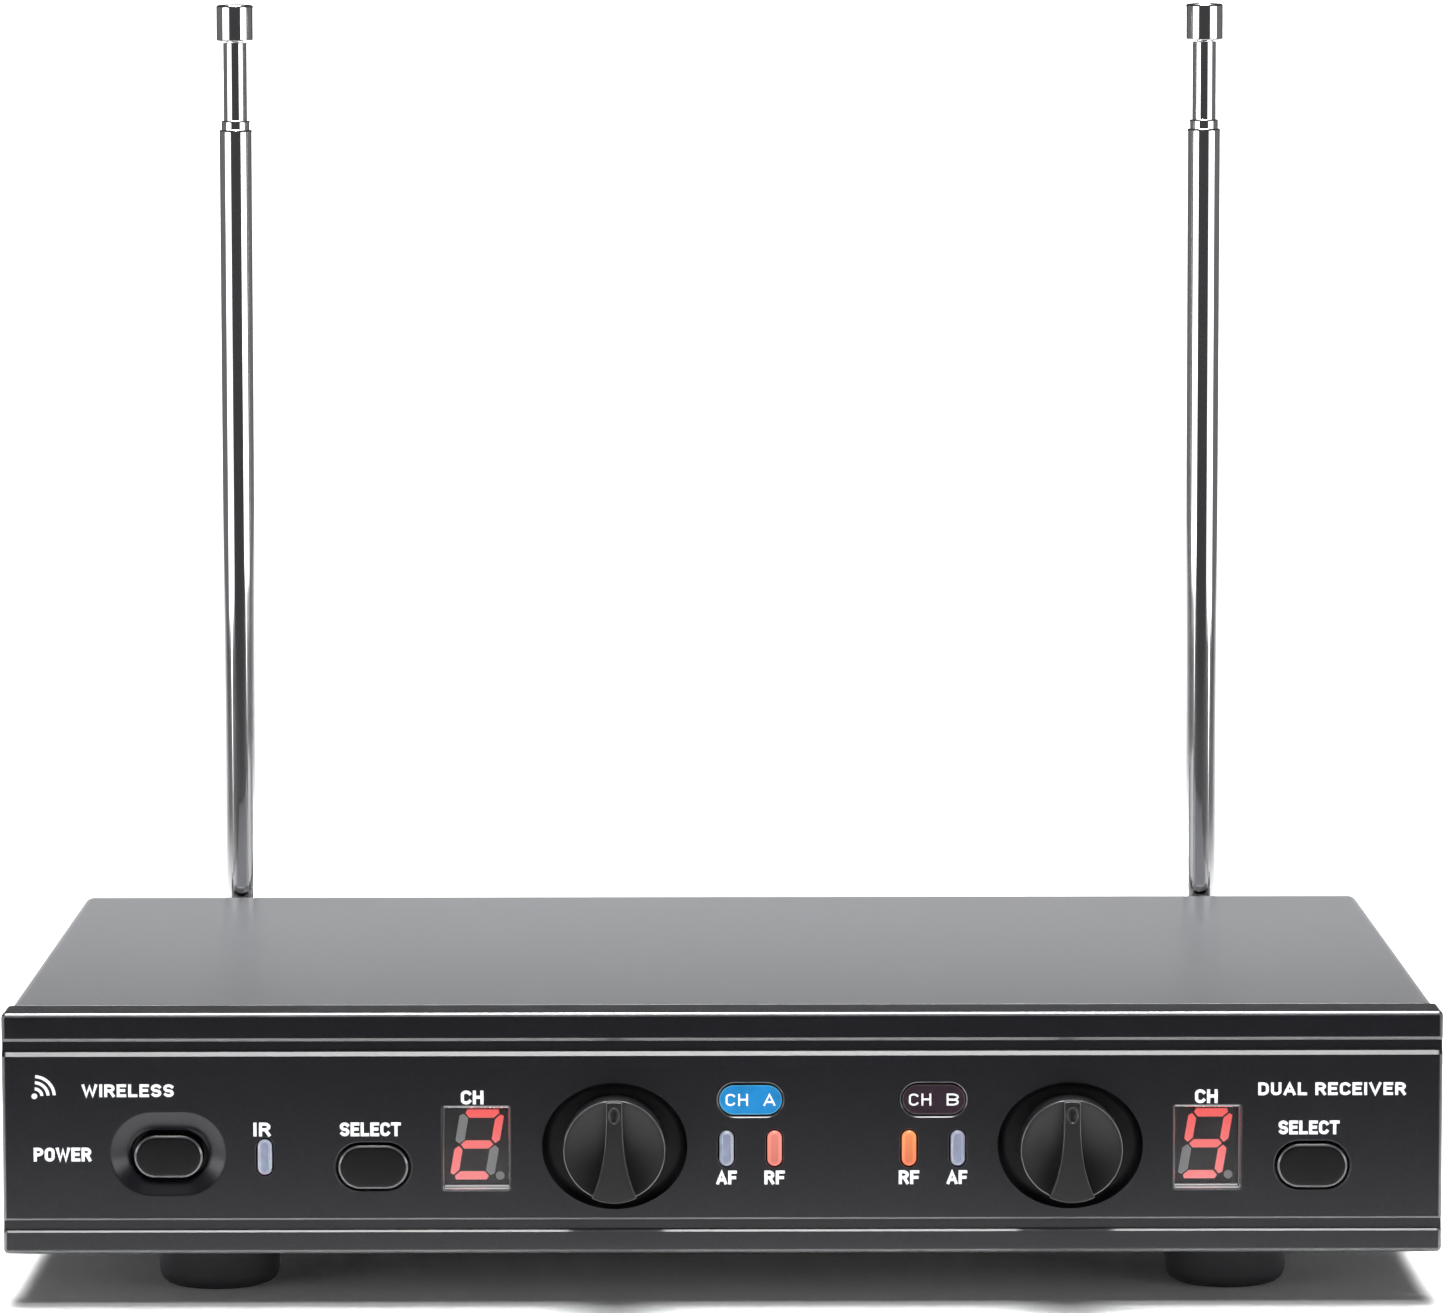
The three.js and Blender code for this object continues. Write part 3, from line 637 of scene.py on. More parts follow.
def panel_shell(knob_places):
    """The bezel with its two grooves, hollow at the back, with thicker walls behind the dishes."""
    half = WIDTH / 2
    ends = [(half - PANEL_EDGE * (1 - math.cos(a)), PANEL_EDGE * (1 - math.sin(a))) for a in quarter(5)]
    rings = []
    for x, inset in [(-x, inset) for x, inset in ends] + ends[::-1]:
        rings.append([(x, depth, height) for depth, height in panel_profile(inset)])
    inside = rounded(WIDTH - 2 * PANEL_SIDE, HEIGHT - 2 * PANEL_SIDE, 1)
    shell = cut(loft(rings), stack(inside, (0, HEIGHT / 2), [(PANEL_WALL, 0), (PANEL_DEPTH + 1, 0)]))
    levels = [(PANEL_WALL - 0.3, 0), (BOSS_DEPTH, 0)]
    bosses = [stack(rounded(18, 14, 1), POWER_DISH["at"], levels)]
    bosses += [stack(rounded(24, 20, 1), at, levels) for at in knob_places]
    return join(shell, merge(*bosses))


def panel_dishes(knob_places):
    """Cutters for the sloped dish around the power button and the bowls around the knobs."""
    slope = [(1.06 * t - 0.06 * t * t, t) for t in [i / 10 for i in range(11)]]
    dish = [(POWER_DISH["depth"] * down, POWER_DISH["inset"] * t) for down, t in slope]
    bowl = [(RECESS["depth"] * math.sin(a), RECESS["inset"] * (1 - math.cos(a))) for a in quarter(5)]
    dishes = [stack(pill(*POWER_DISH["size"]), POWER_DISH["at"], [(-1, 0)] + dish)]
    dishes += [stack(ellipse(*RECESS["size"]), at, [(-1, 0)] + bowl) for at in knob_places]
    return merge(*dishes)


def panel_holes(knob_places):
    """Cutters for the openings around the buttons, shafts, windows, badges and lamps."""
    past = PANEL_DEPTH + 1
    width, height = button_size("power_button")
    opening = pill(width + 1.25, height + 1.25)
    holes = [bore(opening, centre("power_button"), POWER_DISH["depth"], past, RIM)]
    holes += [stack(circle(SHAFT_HOLE), at, [(0, 0), (past, 0)]) for at in knob_places]
    for c in CHANNELS:
        width, height = button_size(f"select_button_{c}")
        holes.append(bore(pill(width + 0.9, height + 0.9), centre(f"select_button_{c}"), 0, past, RIM))
    for c in CHANNELS:
        width, height = window_size(f"display_window_{c}")
        x, z = centre(f"display_window_{c}")
        holes.append(bore(rounded(width + 0.1, height + 0.1, 0.3), (x, z + WINDOW_SHIFT), 0, past, 0.12))
        holes.append(bore(pill(*BADGE["pocket"]), badge_place(c), 0, 0.8, 0.15))
    holes += [bore(pill(*LAMP_HOLE), centre(name), 0, past, 0.06) for name in LAMPS]
    return merge(*holes)


def is_near(middle, at, size):
    return abs(middle.x - at[0]) < size[0] / 2 + 0.1 and abs(middle.z - at[1]) < size[1] / 2 + 0.1


def front_panel():
    knob_places = [centre(f"level_knob_{c}") for c in CHANNELS]
    shell = cut(panel_shell(knob_places), panel_dishes(knob_places))
    shell = cut(shell, panel_holes(knob_places))

    def is_highlight_edge(middle, normal):
        sloped = middle.y < 0.3 and 0.25 < -normal.y < 0.95
        return sloped and not is_near(middle, POWER_DISH["at"], POWER_DISH["size"])

    # The bevels, lips and hole rims of the front get the paler plastic: painted highlight.
    mark(shell, is_highlight_edge)
    # The panel's top face gets its own copy of the plastic: painted shade.
    mark(shell, lambda middle, normal: normal.z > 0.98 and middle.z > HEIGHT - 0.5, 3)
    # The bowls round the knobs get the darker plastic: painted shade.
    for at in knob_places:
        mark(shell, lambda middle, normal: is_near(middle, at, RECESS["size"]) and middle.y > 0.005, 2)
    piece("panel_bezel", shell, PANEL_LOOK, replaces=["front_panel"],
          more_looks=[PAINTED_HIGHLIGHT_LOOK, PAINTED_SHADE_LOOK, TOP_SHADE_LOOK])


# ---------------------------------------------------------------- top cover
COVER_BEND = 1.6
COVER_SHEET = 1.0
COVER_EDGE = 0.25
SINK = [(3.15, 1), (3.15, 0.05), (3.0, -0.05), (1.95, -1.05), (1.95, -2)]
SCREW = [(2.4, -0.1), (2.6, -0.13), (2.7, -0.22), (2.66, -0.3), (1.3, -1.3), (1.3, -4.8), (1.1, -5)]


def sheet_path(half, top, bottom, bend):
    """The outline of the bent sheet as [x, height]: up the left side, over the top and down the right."""
    left = arc(bend - half, top - bend, bend, 180, 90, 10)
    right = arc(half - bend, top - bend, bend, 90, 0, 10)
    return [(-half, bottom)] + left + right + [(half, bottom)]


def cover_screw_places():
    """Each cover screw's node, its side and the middle of its head on the cover's side."""
    edge_x = extent("top_cover")[1].x
    for side_name, side in SIDES.items():
        for end in ("front", "back"):
            node = f"cover_screw_{end}_{side_name}"
            low, high = extent(node)
            yield node, side, (side * edge_x, (low.y + high.y) / 2, (low.z + high.z) / 2)


def sideways(section, side, at, sides=40):
    """A solid turned about x, from [radius, distance] points measured outwards from a side of the unit."""
    return loft(turned([(radius, side * out) for radius, out in section], at, "x", sides))


def top_cover():
    low, high = extent("top_cover")
    ends = [(COVER_EDGE * (1 - math.cos(a)), COVER_EDGE * (1 - math.sin(a))) for a in quarter(4)]
    depths = [(low.y + along, inset) for along, inset in ends]
    depths += [(high.y - along, inset) for along, inset in ends[::-1]]
    rings = []
    for depth, inset in depths:
        outer = sheet_path(high.x - inset, high.z - inset, low.z + inset, COVER_BEND - inset)
        thick = COVER_SHEET - inset
        inner = sheet_path(high.x - thick, high.z - thick, low.z + inset, COVER_BEND - thick)
        rings.append([(x, depth, z) for x, z in outer + inner[::-1]])
    sinks = [sideways(SINK, side, at) for node, side, at in cover_screw_places()]
    shell = cut(loft(rings), merge(*sinks))
    piece("cover_sheet", shell, COVER_LOOK, replaces=["top_cover"])


def cover_screws():
    """Countersunk screws with a cross recess."""
    for node, side, at in cover_screw_places():
        slots = []
        for outline in (rounded(3.0, 0.62, 0.12), rounded(0.62, 3.0, 0.12)):
            slots.append(loft([
                [(at[0] + side * out, at[1] + x, at[2] + z) for x, z in outline(inset)]
                for out, inset in ((0.5, 0), (-0.1, 0), (-0.9, 0.2))
            ]))
        head = cut(sideways(SCREW, side, at), *slots)
        piece(f"{node}_fine", head, SCREW_LOOK, replaces=[node])


# ---------------------------------------------------------------- chassis
CHASSIS_SHEET = 1.0
POSTS = {"x": 86, "depths": (26, 110)}


def block(x, y, z):
    """A box from its ranges in x, depth and height."""
    corners = ((x[0], z[0]), (x[1], z[0]), (x[1], z[1]), (x[0], z[1]))
    return loft([[(cx, depth, cz) for cx, cz in corners] for depth in y])


def chassis():
    """A folded tray with a back wall, low side flanges, an open front, openings and posts for the board."""
    low, high = extent("chassis")
    sheet = CHASSIS_SHEET
    outline = rounded(high.x - low.x, high.z - low.z, 1.2)
    middle = (0, (low.z + high.z) / 2)
    front = low.y
    shell = stack(outline, middle, [(front, 0), (high.y - 0.25, 0), (high.y - 0.07, 0.08), (high.y, 0.25)])
    room = rounded(high.x - low.x - 2 * sheet, high.z - low.z - sheet + 4, 0.6)
    levels = [(front + sheet, 0), (high.y - sheet, 0)]
    shell = cut(shell, stack(room, (0, middle[1] + sheet / 2 + 2), levels))
    flange_top = low.z + 11
    sides = block((low.x - 1, high.x + 1), (front - 1, high.y - sheet), (flange_top, high.z + 1))
    shell = cut(shell, sides)
    shell = cut(shell, block((-98, 98), (front - 1, front + sheet + 0.5), (low.z + 6, high.z)))
    openings = [(circle(10.8), f"xlr_output_{c}") for c in CHANNELS]
    openings += [(circle(5.0), "jack_nut"), (rounded(9.6, 11.6, 0.6), "power_inlet")]
    openings += [(circle(4.3), f"antenna_bush_{side_name}") for side_name in SIDES]
    holes = [back_bore(opening, centre(node), high.y - 3, high.y, 0.12) for opening, node in openings]
    for node, side, at in cover_screw_places():
        holes.append(sideways([(1.6, 1), (1.6, -3)], side, (side * high.x, at[1], at[2]), 24))
    shell = cut(shell, merge(*holes))
    section = [(2.6, low.z + 0.5), (2.6, 6.6), (2.4, 6.8)]
    posts = [
        loft(turned(section, (side * POSTS["x"], depth, 0), "height", 32))
        for side in (-1, 1) for depth in POSTS["depths"]
    ]
    whole = join(shell, merge(*posts))
    piece("chassis_tray", whole, CHASSIS_LOOK, replaces=["chassis"])


def feet():
    """Moulded rubber feet with a rounded bottom edge, a slight taper and a dimple underneath."""
    for end in ("front", "back"):
        for side_name in SIDES:
            node = f"foot_{end}_{side_name}"
            low, high = extent(node)
            at = ((low.x + high.x) / 2, (low.y + high.y) / 2, 0)
            section = [(2.2, low.z + 0.8), (2.9, low.z + 0.35), (3.3, low.z + 0.02), (6.7, low.z)]
            section += [(6.7 + 2.2 * math.sin(a), low.z + 2.2 * (1 - math.cos(a))) for a in quarter(6)[1:]]
            section += [(9.12, low.z + 5), (9.3, high.z - 0.4), (9.22, high.z - 0.08), (9.1, high.z)]
            foot = loft(turned(section, at, "height"))
            piece(f"{node}_fine", foot, RUBBER_LOOK, replaces=[node])


# ---------------------------------------------------------------- buttons
# A button's stem behind the panel is its width, where it ends, and the depth of its flange.
STEM = {
    "power_button": (3.3, 8.2, 3.9),
    "select_button_a": (2.8, 8.3, 2.7),
    "select_button_b": (2.8, 8.3, 2.7),
}


def push_button(node):
    """A cap with a nearly flat face and a bevelled rim, on a flange and a stem behind the panel."""
    width, height = button_size(node)
    at = centre(node)
    front = extent(node)[0].y
    stem_width, stem_end, flange = STEM[node]
    half = height / 2
    run, rise = BEVEL
    levels = [(front, half - 0.05), (front + 0.004, half * 0.6), (front + 0.012, 0.6), (front + 0.03, 0.4)]
    levels += [(front + 0.05, rise), (front + 0.05 + run, 0), (flange + 0.1, 0)]
    cap = stack(pill(width, height), at, levels)
    # The cap's bevel gets the paler plastic: painted highlight.
    mark(cap, lambda middle, normal: 0.25 < abs(normal.y) < 0.95 and middle.y < front + 0.5)
    brim = bar(pill(width + 2.4, height + 2.2), at, flange, flange + 0.7, 0.12)
    stem = bar(rounded(stem_width, stem_width, 0.3), at, flange + 0.5, stem_end, 0.2)
    whole = join(cap, brim, stem)
    piece(f"{node}_fine", whole, CONTROL_LOOK, f"{node}_body", [node],
          more_looks=[PAINTED_HIGHLIGHT_LOOK])


# ---------------------------------------------------------------- level knobs
KNOB = {"radius": 7.42, "chamfer": 0.16, "ridge": 1.7, "bowl": 1.15}
POINTER = {"top": 1.15, "flare": 2.5, "power": 3.1}
DIMPLE = {"height": 5.45, "size": (1.35, 2.1), "depth": 0.7}


def pointer_half_width(height):
    """Half the width of the ridge on a knob's face: nearly straight above and flared below."""
    down = (KNOB["radius"] - height) / (2 * KNOB["radius"])
    return POINTER["top"] + POINTER["flare"] * down ** POINTER["power"]


def ridge_outline():
    """The ridge's outline about the knob's middle: up its right side, over, and down its left side."""
    radius = KNOB["radius"] - 0.02
    side = []
    for i in range(61):
        height = -radius + 2 * radius * i / 60
        x = pointer_half_width(height)
        if math.hypot(x, height) < radius - 0.05:
            side.append((x, height))
    top, low = math.atan2(side[-1][1], side[-1][0]), math.atan2(side[0][1], side[0][0])
    over = [top + (math.pi - 2 * top) * i / 12 for i in range(13)]
    under = [-math.pi - low + (math.pi + 2 * low) * i / 24 for i in range(25)]
    crown, base = [[(radius * math.cos(a), radius * math.sin(a)) for a in turns] for turns in (over, under)]
    return side + crown + [(-x, z) for x, z in side[::-1]] + base


def ridge(at, face, back):
    """The ridge with its front edges bevelled."""
    points = ridge_outline()
    bm = loft([[(at[0] + x, depth, at[1] + z) for x, z in points] for depth in (face, back)])
    front = [e for e in bm.edges if all(abs(v.co.y - face) < 1e-6 for v in e.verts)]
    bmesh.ops.bevel(bm, geom=front, offset=0.17, segments=3, profile=0.6, affect="EDGES")
    return bm


def level_knob(channel):
    """A round skirt with a shallow bowl, a raised ridge across it and a dimple that points."""
    node = f"level_knob_{channel}"
    at = centre(node)
    low, high = extent(node)
    radius, chamfer = KNOB["radius"], KNOB["chamfer"]
    rim = low.y + KNOB["ridge"]
    bowl = [(radius - chamfer - 0.1) * t for t in (0, 0.1, 0.2, 0.35, 0.5, 0.65, 0.8, 0.9, 1)]
    section = [(r, rim + KNOB["bowl"] * (1 - (r / bowl[-1]) ** 2)) for r in bowl]
    inner = radius - chamfer
    section += [(inner + chamfer * math.sin(a), rim + chamfer * (1 - math.cos(a))) for a in quarter(6)]
    section += [(radius + 0.02, high.y - 0.4), (radius - 0.3, high.y)]
    body = spun(section, at, 96)
    solid = join(body, ridge(at, low.y, rim + KNOB["bowl"] + 0.2))
    deep = DIMPLE["depth"]
    levels = [(low.y - 1, -0.2), (low.y, -0.2), (low.y + 0.2, 0.0)]
    levels += [(low.y + deep * 0.7, 0.06), (low.y + deep, 0.4)]
    dimple = stack(ellipse(*DIMPLE["size"], 32), (at[0], at[1] + DIMPLE["height"]), levels)
    shaft_bore = stack(circle(3.25, 48), at, [(low.y + 3.0, 0.2), (low.y + 3.2, 0), (high.y + 1, 0)])
    solid = cut(solid, dimple, shaft_bore)

    def is_highlight_edge(middle, normal):
        away = math.hypot(middle.x - at[0], middle.z - at[1])
        on_rim = away > radius - chamfer - 0.02 and low.y + 0.3 < middle.y < rim + chamfer
        return on_rim or (middle.y < low.y + 0.2 and abs(normal.y) < 0.95)

    # The rim's chamfer and the ridge's bevelled edges get the paler plastic: painted highlight.
    mark(solid, is_highlight_edge)
    piece(f"{node}_fine", solid, KNOB_LOOK, f"{node}_body", [node], sharp=30,
          more_looks=[PAINTED_HIGHLIGHT_LOOK])


# ---------------------------------------------------------------- displays
DIGIT = {"height": 10.36, "width": 6.44, "stroke": 1.22, "slant": 9.6, "gap": 0.3, "clip": 0.25}
LIT = {"a": "abged", "b": "abcdfg"}
POINT = {"shift": (3.35, -4.6), "radius": 0.64}
INK = 0.06
UNLIT_RIM = 0.07


def flipped(points, x_sign, z_sign):
    return [(x_sign * x, z_sign * z) for x, z in points]


def digit_segments():
    """The seven segments of a digit about its middle, each as [x, height] corners before the slant."""
    w, h = DIGIT["width"] / 2, DIGIT["height"] / 2
    t, clip = DIGIT["stroke"], DIGIT["clip"]
    g = DIGIT["gap"] / math.sqrt(2)
    end, near = 0.42 * t + g, t + g
    top = [(w - end - clip, h), (w - end, h - 0.42 * t), (w - near, h - t),
           (near - w, h - t), (end - w, h - 0.42 * t), (end + clip - w, h)]
    right = [(w, h - end - clip), (w - 0.42 * t, h - end), (w - t, h - near),
             (w - t, 0.5 * t + g), (w - 0.5 * t, g), (w, 0.4 * t + g)]
    middle = [(w - 0.5 * t - g, 0), (w - near, t / 2), (near - w, t / 2),
              (0.5 * t + g - w, 0), (near - w, -t / 2), (w - near, -t / 2)]
    return {
        "a": top,
        "b": right,
        "c": flipped(right, 1, -1),
        "d": flipped(top, 1, -1),
        "e": flipped(right, -1, -1),
        "f": flipped(right, -1, 1),
        "g": middle,
    }


def slanted(points, at):
    """Corners leant over as a display's digits are, and moved to their place."""
    lean = math.tan(math.radians(DIGIT["slant"]))
    return [(at[0] + x + z * lean, at[1] + z) for x, z in points]


def grown(points, by):
    """Corners pushed outwards from their middle by about this much."""
    cx = sum(x for x, z in points) / len(points)
    cz = sum(z for x, z in points) / len(points)
    made = []
    for x, z in points:
        out_x = math.copysign(by, x - cx) * min(abs(x - cx), 1)
        out_z = math.copysign(by, z - cz) * min(abs(z - cz), 1)
        made.append((x + out_x, z + out_z))
    return made


def plate(points, front, back):
    """A flat solid between two depths, from its outline of [x, height] points."""
    return loft([[(x, depth, z) for x, z in points] for depth in (front, back)])


def display_window(channel):
    """A clear lens with frosted sides that carry a painted glow, on a flange behind the panel."""
    node = f"display_window_{channel}"
    at = centre(node)
    low, high = extent(node)
    width, height = window_size(node)
    outline = rounded(width - 0.2, height - 0.2, 0.25)
    lens = bar(outline, (at[0], at[1] + WINDOW_SHIFT), low.y, high.y, 0.12)
    flange = bar(rounded(width + 1.6, height + 1.4, 0.4), at, 2.7, 3.6, 0.1)
    whole = join(lens, flange)
    # The top and bottom faces, and the sides, get frosted plastic with a painted glow.
    mark(whole, lambda middle, normal: abs(normal.z) > 0.9)
    mark(whole, lambda middle, normal: abs(normal.x) > 0.9, 2)
    piece(f"{node}_fine", whole, CLEAR_LOOK, replaces=[node],
          more_looks=[FROST_GLOW_LOOK, WINDOW_SIDE_GLOW_LOOK])


def display(channel):
    """A window, the display block behind it, and its segments: lit ones and unlit ones with a paler rim."""
    display_window(channel)
    at = centre(f"display_window_{channel}")
    module = f"display_module_{channel}"
    low, high = extent(module)
    body = bar(rounded(high.x - low.x, high.z - low.z, 0.4), centre(module), low.y, high.y, 0.15)
    piece(f"{module}_fine", body, DISPLAY_LOOK, replaces=[module])
    groups = {"lit": [], "unlit": [], "unlit_rim": []}
    for name, corners in digit_segments().items():
        points = slanted(corners, at)
        lit = name in LIT[channel]
        groups["lit" if lit else "unlit"].append(plate(points, low.y - INK, low.y + 0.05))
        if not lit:
            groups["unlit_rim"].append(plate(grown(points, UNLIT_RIM), low.y - INK / 2, low.y + 0.05))
    px, pz = at[0] + POINT["shift"][0], at[1] + POINT["shift"][1]
    point = [(px + x, pz + z) for x, z in circle(POINT["radius"], 24)(0)]
    groups["unlit"].append(plate(point, low.y - INK, low.y + 0.05))
    reach = DIGIT["height"] / 2
    lit_look = glowing(f"segment_lit_{channel}", (1.0, 0.27, 0.27), (1.0, 0.12, 0.11), 1.0, at, reach)
    looks = {"lit": lit_look, "unlit": UNLIT_LOOK, "unlit_rim": UNLIT_RIM_LOOK}
    for kind, plates in groups.items():
        piece(f"segments_{kind}_{channel}", merge(*plates), looks[kind])


# ---------------------------------------------------------------- lamps and badges
# A lit lamp has the colour at its bottom and at its top. The others are off.
LAMPS = {
    "ir_window": None,
    "audio_lamp_a": None,
    "audio_lamp_b": None,
    "radio_lamp_a": ((0.72, 0.2, 0.16), (0.9, 0.28, 0.22)),
    "radio_lamp_b": ((0.8, 0.17, 0.09), (1.0, 0.34, 0.12)),
}
LENS = (2.1, 5.22)
LAMP_HOLE = (2.6, 5.72)


def lamp(name):
    """A lens with a rounded edge in a shallow hollow, on a flange behind the panel."""
    at = centre(name)
    low, high = extent(name)
    face = [(low.y + 0.06, 0.9), (low.y + 0.06, 0.5), (low.y, 0.42), (low.y, 0.38), (low.y + 0.22, 0.07)]
    lens = stack(pill(*LENS), at, face + [(low.y + 0.36, 0), (high.y, 0)])
    flange = bar(pill(LENS[0] + 1.3, LENS[1] + 1.4), at, 2.7, 3.5, 0.1)
    look, lamp_highlight_look = LAMP_OFF_LOOK, LAMP_HIGHLIGHT_LOOK
    if LAMPS[name]:
        bottom, top = LAMPS[name]
        look = glowing(f"lamp_lit_{name}", bottom, top, 0.85, at, LENS[1] / 2, 0.2)
        lamp_highlight_look = glowing(f"lamp_lit_painted_highlight_{name}", bottom, top, 1.1, at, LENS[1] / 2, 0.2)
    whole = join(lens, flange)
    # The bevelled edge gets a paler copy of the lens colour, and a lit lens a stronger glow there: painted
    # highlight. A lit lens's own glow is its lamp.
    mark(whole, lambda middle, normal: middle.y < low.y + 0.3 and math.hypot(normal.x, normal.z) > 0.3)
    # The lens's sides and flange behind the face get the dark plastic: painted shade.
    mark(whole, lambda middle, normal: middle.y > low.y + 0.3, 2)
    piece(f"{name}_fine", whole, look, replaces=[name], more_looks=[lamp_highlight_look, PAINTED_SHADE_LOOK])


BADGE = {"base": (9.3, 4.6), "plate": (9.1, 4.3), "pocket": (9.56, 5.0), "shift": 0.18}
# Each badge's colour, the paler colour painted on its bevelled rim as a highlight, and its slot.
BADGE_COLOURS = {
    "a": ((0.02, 0.3, 0.72), (0.12, 0.55, 0.9), "badge_blue"),
    "b": ((0.035, 0.018, 0.03), (0.1, 0.07, 0.08), "badge_purple"),
}
BADGE_TEXT = 1.78  # the height of its letters


def badge(channel):
    """A printed plate with a painted highlight on its bevelled rim, on a base that fills its pocket, with
    its channel's letters.
    """
    node = f"channel_badge_{channel}"
    at = badge_place(channel)
    low, high = extent(node)
    colour, badge_highlight_colour, slot = BADGE_COLOURS[channel]
    base = stack(pill(*BADGE["base"]), at, edge(low.y + 0.1, 0.05) + [(high.y, 0)])
    piece(f"{node}_fine", base, BADGE_BASE_LOOK, replaces=[node])
    face = low.y - 0.05
    top = stack(pill(*BADGE["plate"]), at, [(face, 0.1), (face + 0.06, 0), (low.y + 0.15, 0)])
    # The plate's bevel gets a paler copy of its colour: painted highlight.
    mark(top, lambda middle, normal: 0.2 < abs(normal.y) < 0.98)
    look = satin_plastic(f"badge_{channel}", colour, 0.2)
    badge_highlight_look = satin_plastic(f"badge_painted_highlight_{channel}", badge_highlight_colour, 0.2)
    piece(f"badge_plate_{channel}", top, look, more_looks=[badge_highlight_look])
    x, z = at
    name = f"badge_text_ch_{channel}"
    words(name, "CH", (x - 2.0, z), (3.25, BADGE_TEXT), face, pen=THIN_STROKE)
    name = f"badge_text_{channel}"
    words(name, channel.upper(), (x + 2.75, z), (1.75, BADGE_TEXT), face, pen=THIN_STROKE)


# ---------------------------------------------------------------- printing
# A letter is drawn as strokes, with middle lines one unit high. It is as wide as its lines reach.
PRINT = 0.02
STROKE = 0.225  # of the height of a letter
THIN_STROKE = 0.15
LETTER_GAP = 0.33
WORD_GAP = 0.4


def letter_strokes():
    """The strokes of each capital letter that is used."""
    bow = arc(0.24, 0.74, 0.26, 90, -90, 10)
    belly = arc(0.25, 0.25, 0.25, 90, -90, 10)
    foot = arc(0.25, 0.25, 0.25, 180, 360, 10)
    return {
        "A": ([(0, 0), (0.3, 1), (0.6, 0)], [(0.11, 0.28), (0.49, 0.28)]),
        "B": (
            [(0, 0.5), (0, 1), *bow, (0, 0.5)],
            [(0, 0.5), (0.25, 0.5), *belly, (0, 0), (0, 0.5)],
        ),
        "C": ([*arc(0.26, 0.74, 0.26, 25, 180, 10), *arc(0.26, 0.26, 0.26, 180, 335, 10)],),
        "D": ([(0, 0), (0, 1), *arc(0.2, 0.7, 0.3, 90, 0, 8), *arc(0.2, 0.3, 0.3, 0, -90, 8), (0, 0)],),
        "E": ([(0.44, 1), (0, 1), (0, 0), (0.44, 0)], [(0, 0.52), (0.38, 0.52)]),
        "F": ([(0.44, 1), (0, 1), (0, 0)], [(0, 0.48), (0.38, 0.48)]),
        "H": ([(0, 0), (0, 1)], [(0, 0.52), (0.52, 0.52)], [(0.52, 0), (0.52, 1)]),
        "I": ([(0, 0), (0, 1)],),
        "L": ([(0, 1), (0, 0), (0.42, 0)],),
        "M": ([(0, 0), (0, 1), (0.36, 0.25), (0.72, 1), (0.72, 0)],),
        "N": ([(0, 0), (0, 1), (0.54, 0), (0.54, 1)],),
        "O": ([*arc(0.26, 0.74, 0.26, 0, 180, 12), *arc(0.26, 0.26, 0.26, 180, 360, 12), (0.52, 0.74)],),
        "P": ([(0, 0), (0, 1), *bow, (0, 0.48)],),
        "R": ([(0, 0), (0, 1), *bow, (0, 0.48)], [(0.3, 0.44), (0.5, 0)]),
        "S": ([*arc(0.25, 0.745, 0.255, 30, 270, 16), *arc(0.25, 0.245, 0.245, 90, -150, 16)],),
        "T": ([(0, 1), (0.52, 1)], [(0.26, 1), (0.26, 0)]),
        "U": ([(0, 1), *foot, (0.5, 1)],),
        "V": ([(0, 1), (0.3, 0), (0.6, 1)],),
        "W": ([(0, 1), (0.21, 0), (0.42, 0.9), (0.63, 0), (0.84, 1)],),
        "X": ([(0, 0), (0.54, 1)], [(0, 1), (0.54, 0)]),
    }


def stroke(line, width, front, back):
    """A line drawn with a broad pen, as a thin solid with square ends.

    The line is closed if it ends where it starts."""
    points = []
    for place in line:
        here = Vector(place)
        if not points or (here - points[-1]).length > 1e-4:
            points.append(here)
    looped = (points[0] - points[-1]).length < 1e-4
    if looped:
        points = points[:-1]
    else:
        start = points[0] + (points[0] - points[1]).normalized() * width / 2
        end = points[-1] + (points[-1] - points[-2]).normalized() * width / 2
        points = [start] + points[1:-1] + [end]
    rings = []
    for i, here in enumerate(points):
        before = points[i - 1] if i or looped else 2 * here - points[1]
        after = points[(i + 1) % len(points)] if i + 1 < len(points) or looped else 2 * here - points[i - 1]
        into, out = (here - before).normalized(), (after - here).normalized()
        across = Vector((-(into + out).y, (into + out).x)).normalized()
        reach = width / 2 / max(abs(across.dot(Vector((-into.y, into.x)))), 0.55)
        one, other = here + across * reach, here - across * reach
        corners = ((front, one), (front, other), (back, other), (back, one))
        rings.append([(end.x, depth, end.y) for depth, end in corners])
    return loft(rings, looped)


def words(name, text, at, size, face=0.0, side="front", pen=STROKE):
    """Words printed on a face, fitted to a width and a height about their middle."""
    facing = 1 if side == "front" else -1
    pen *= size[1]
    placed, along = [], 0
    for letter in text:
        if letter == " ":
            along += WORD_GAP
            continue
        lines = LETTERS[letter]
        width = max(x for line in lines for x, z in line)
        placed += [[(along + x, z) for x, z in line] for line in lines]
        along += width + LETTER_GAP
    total = along - LETTER_GAP
    across, rise = (size[0] - pen) / total, size[1] - pen
    plates = []
    for line in placed:
        points = [(at[0] + facing * (x - total / 2) * across, at[1] + (z - 0.5) * rise) for x, z in line]
        plates.append(stroke(points, pen, face - PRINT, face + PRINT))
    piece(name, merge(*plates), WHITE_GLOW_LOOK)


LETTERS = letter_strokes()
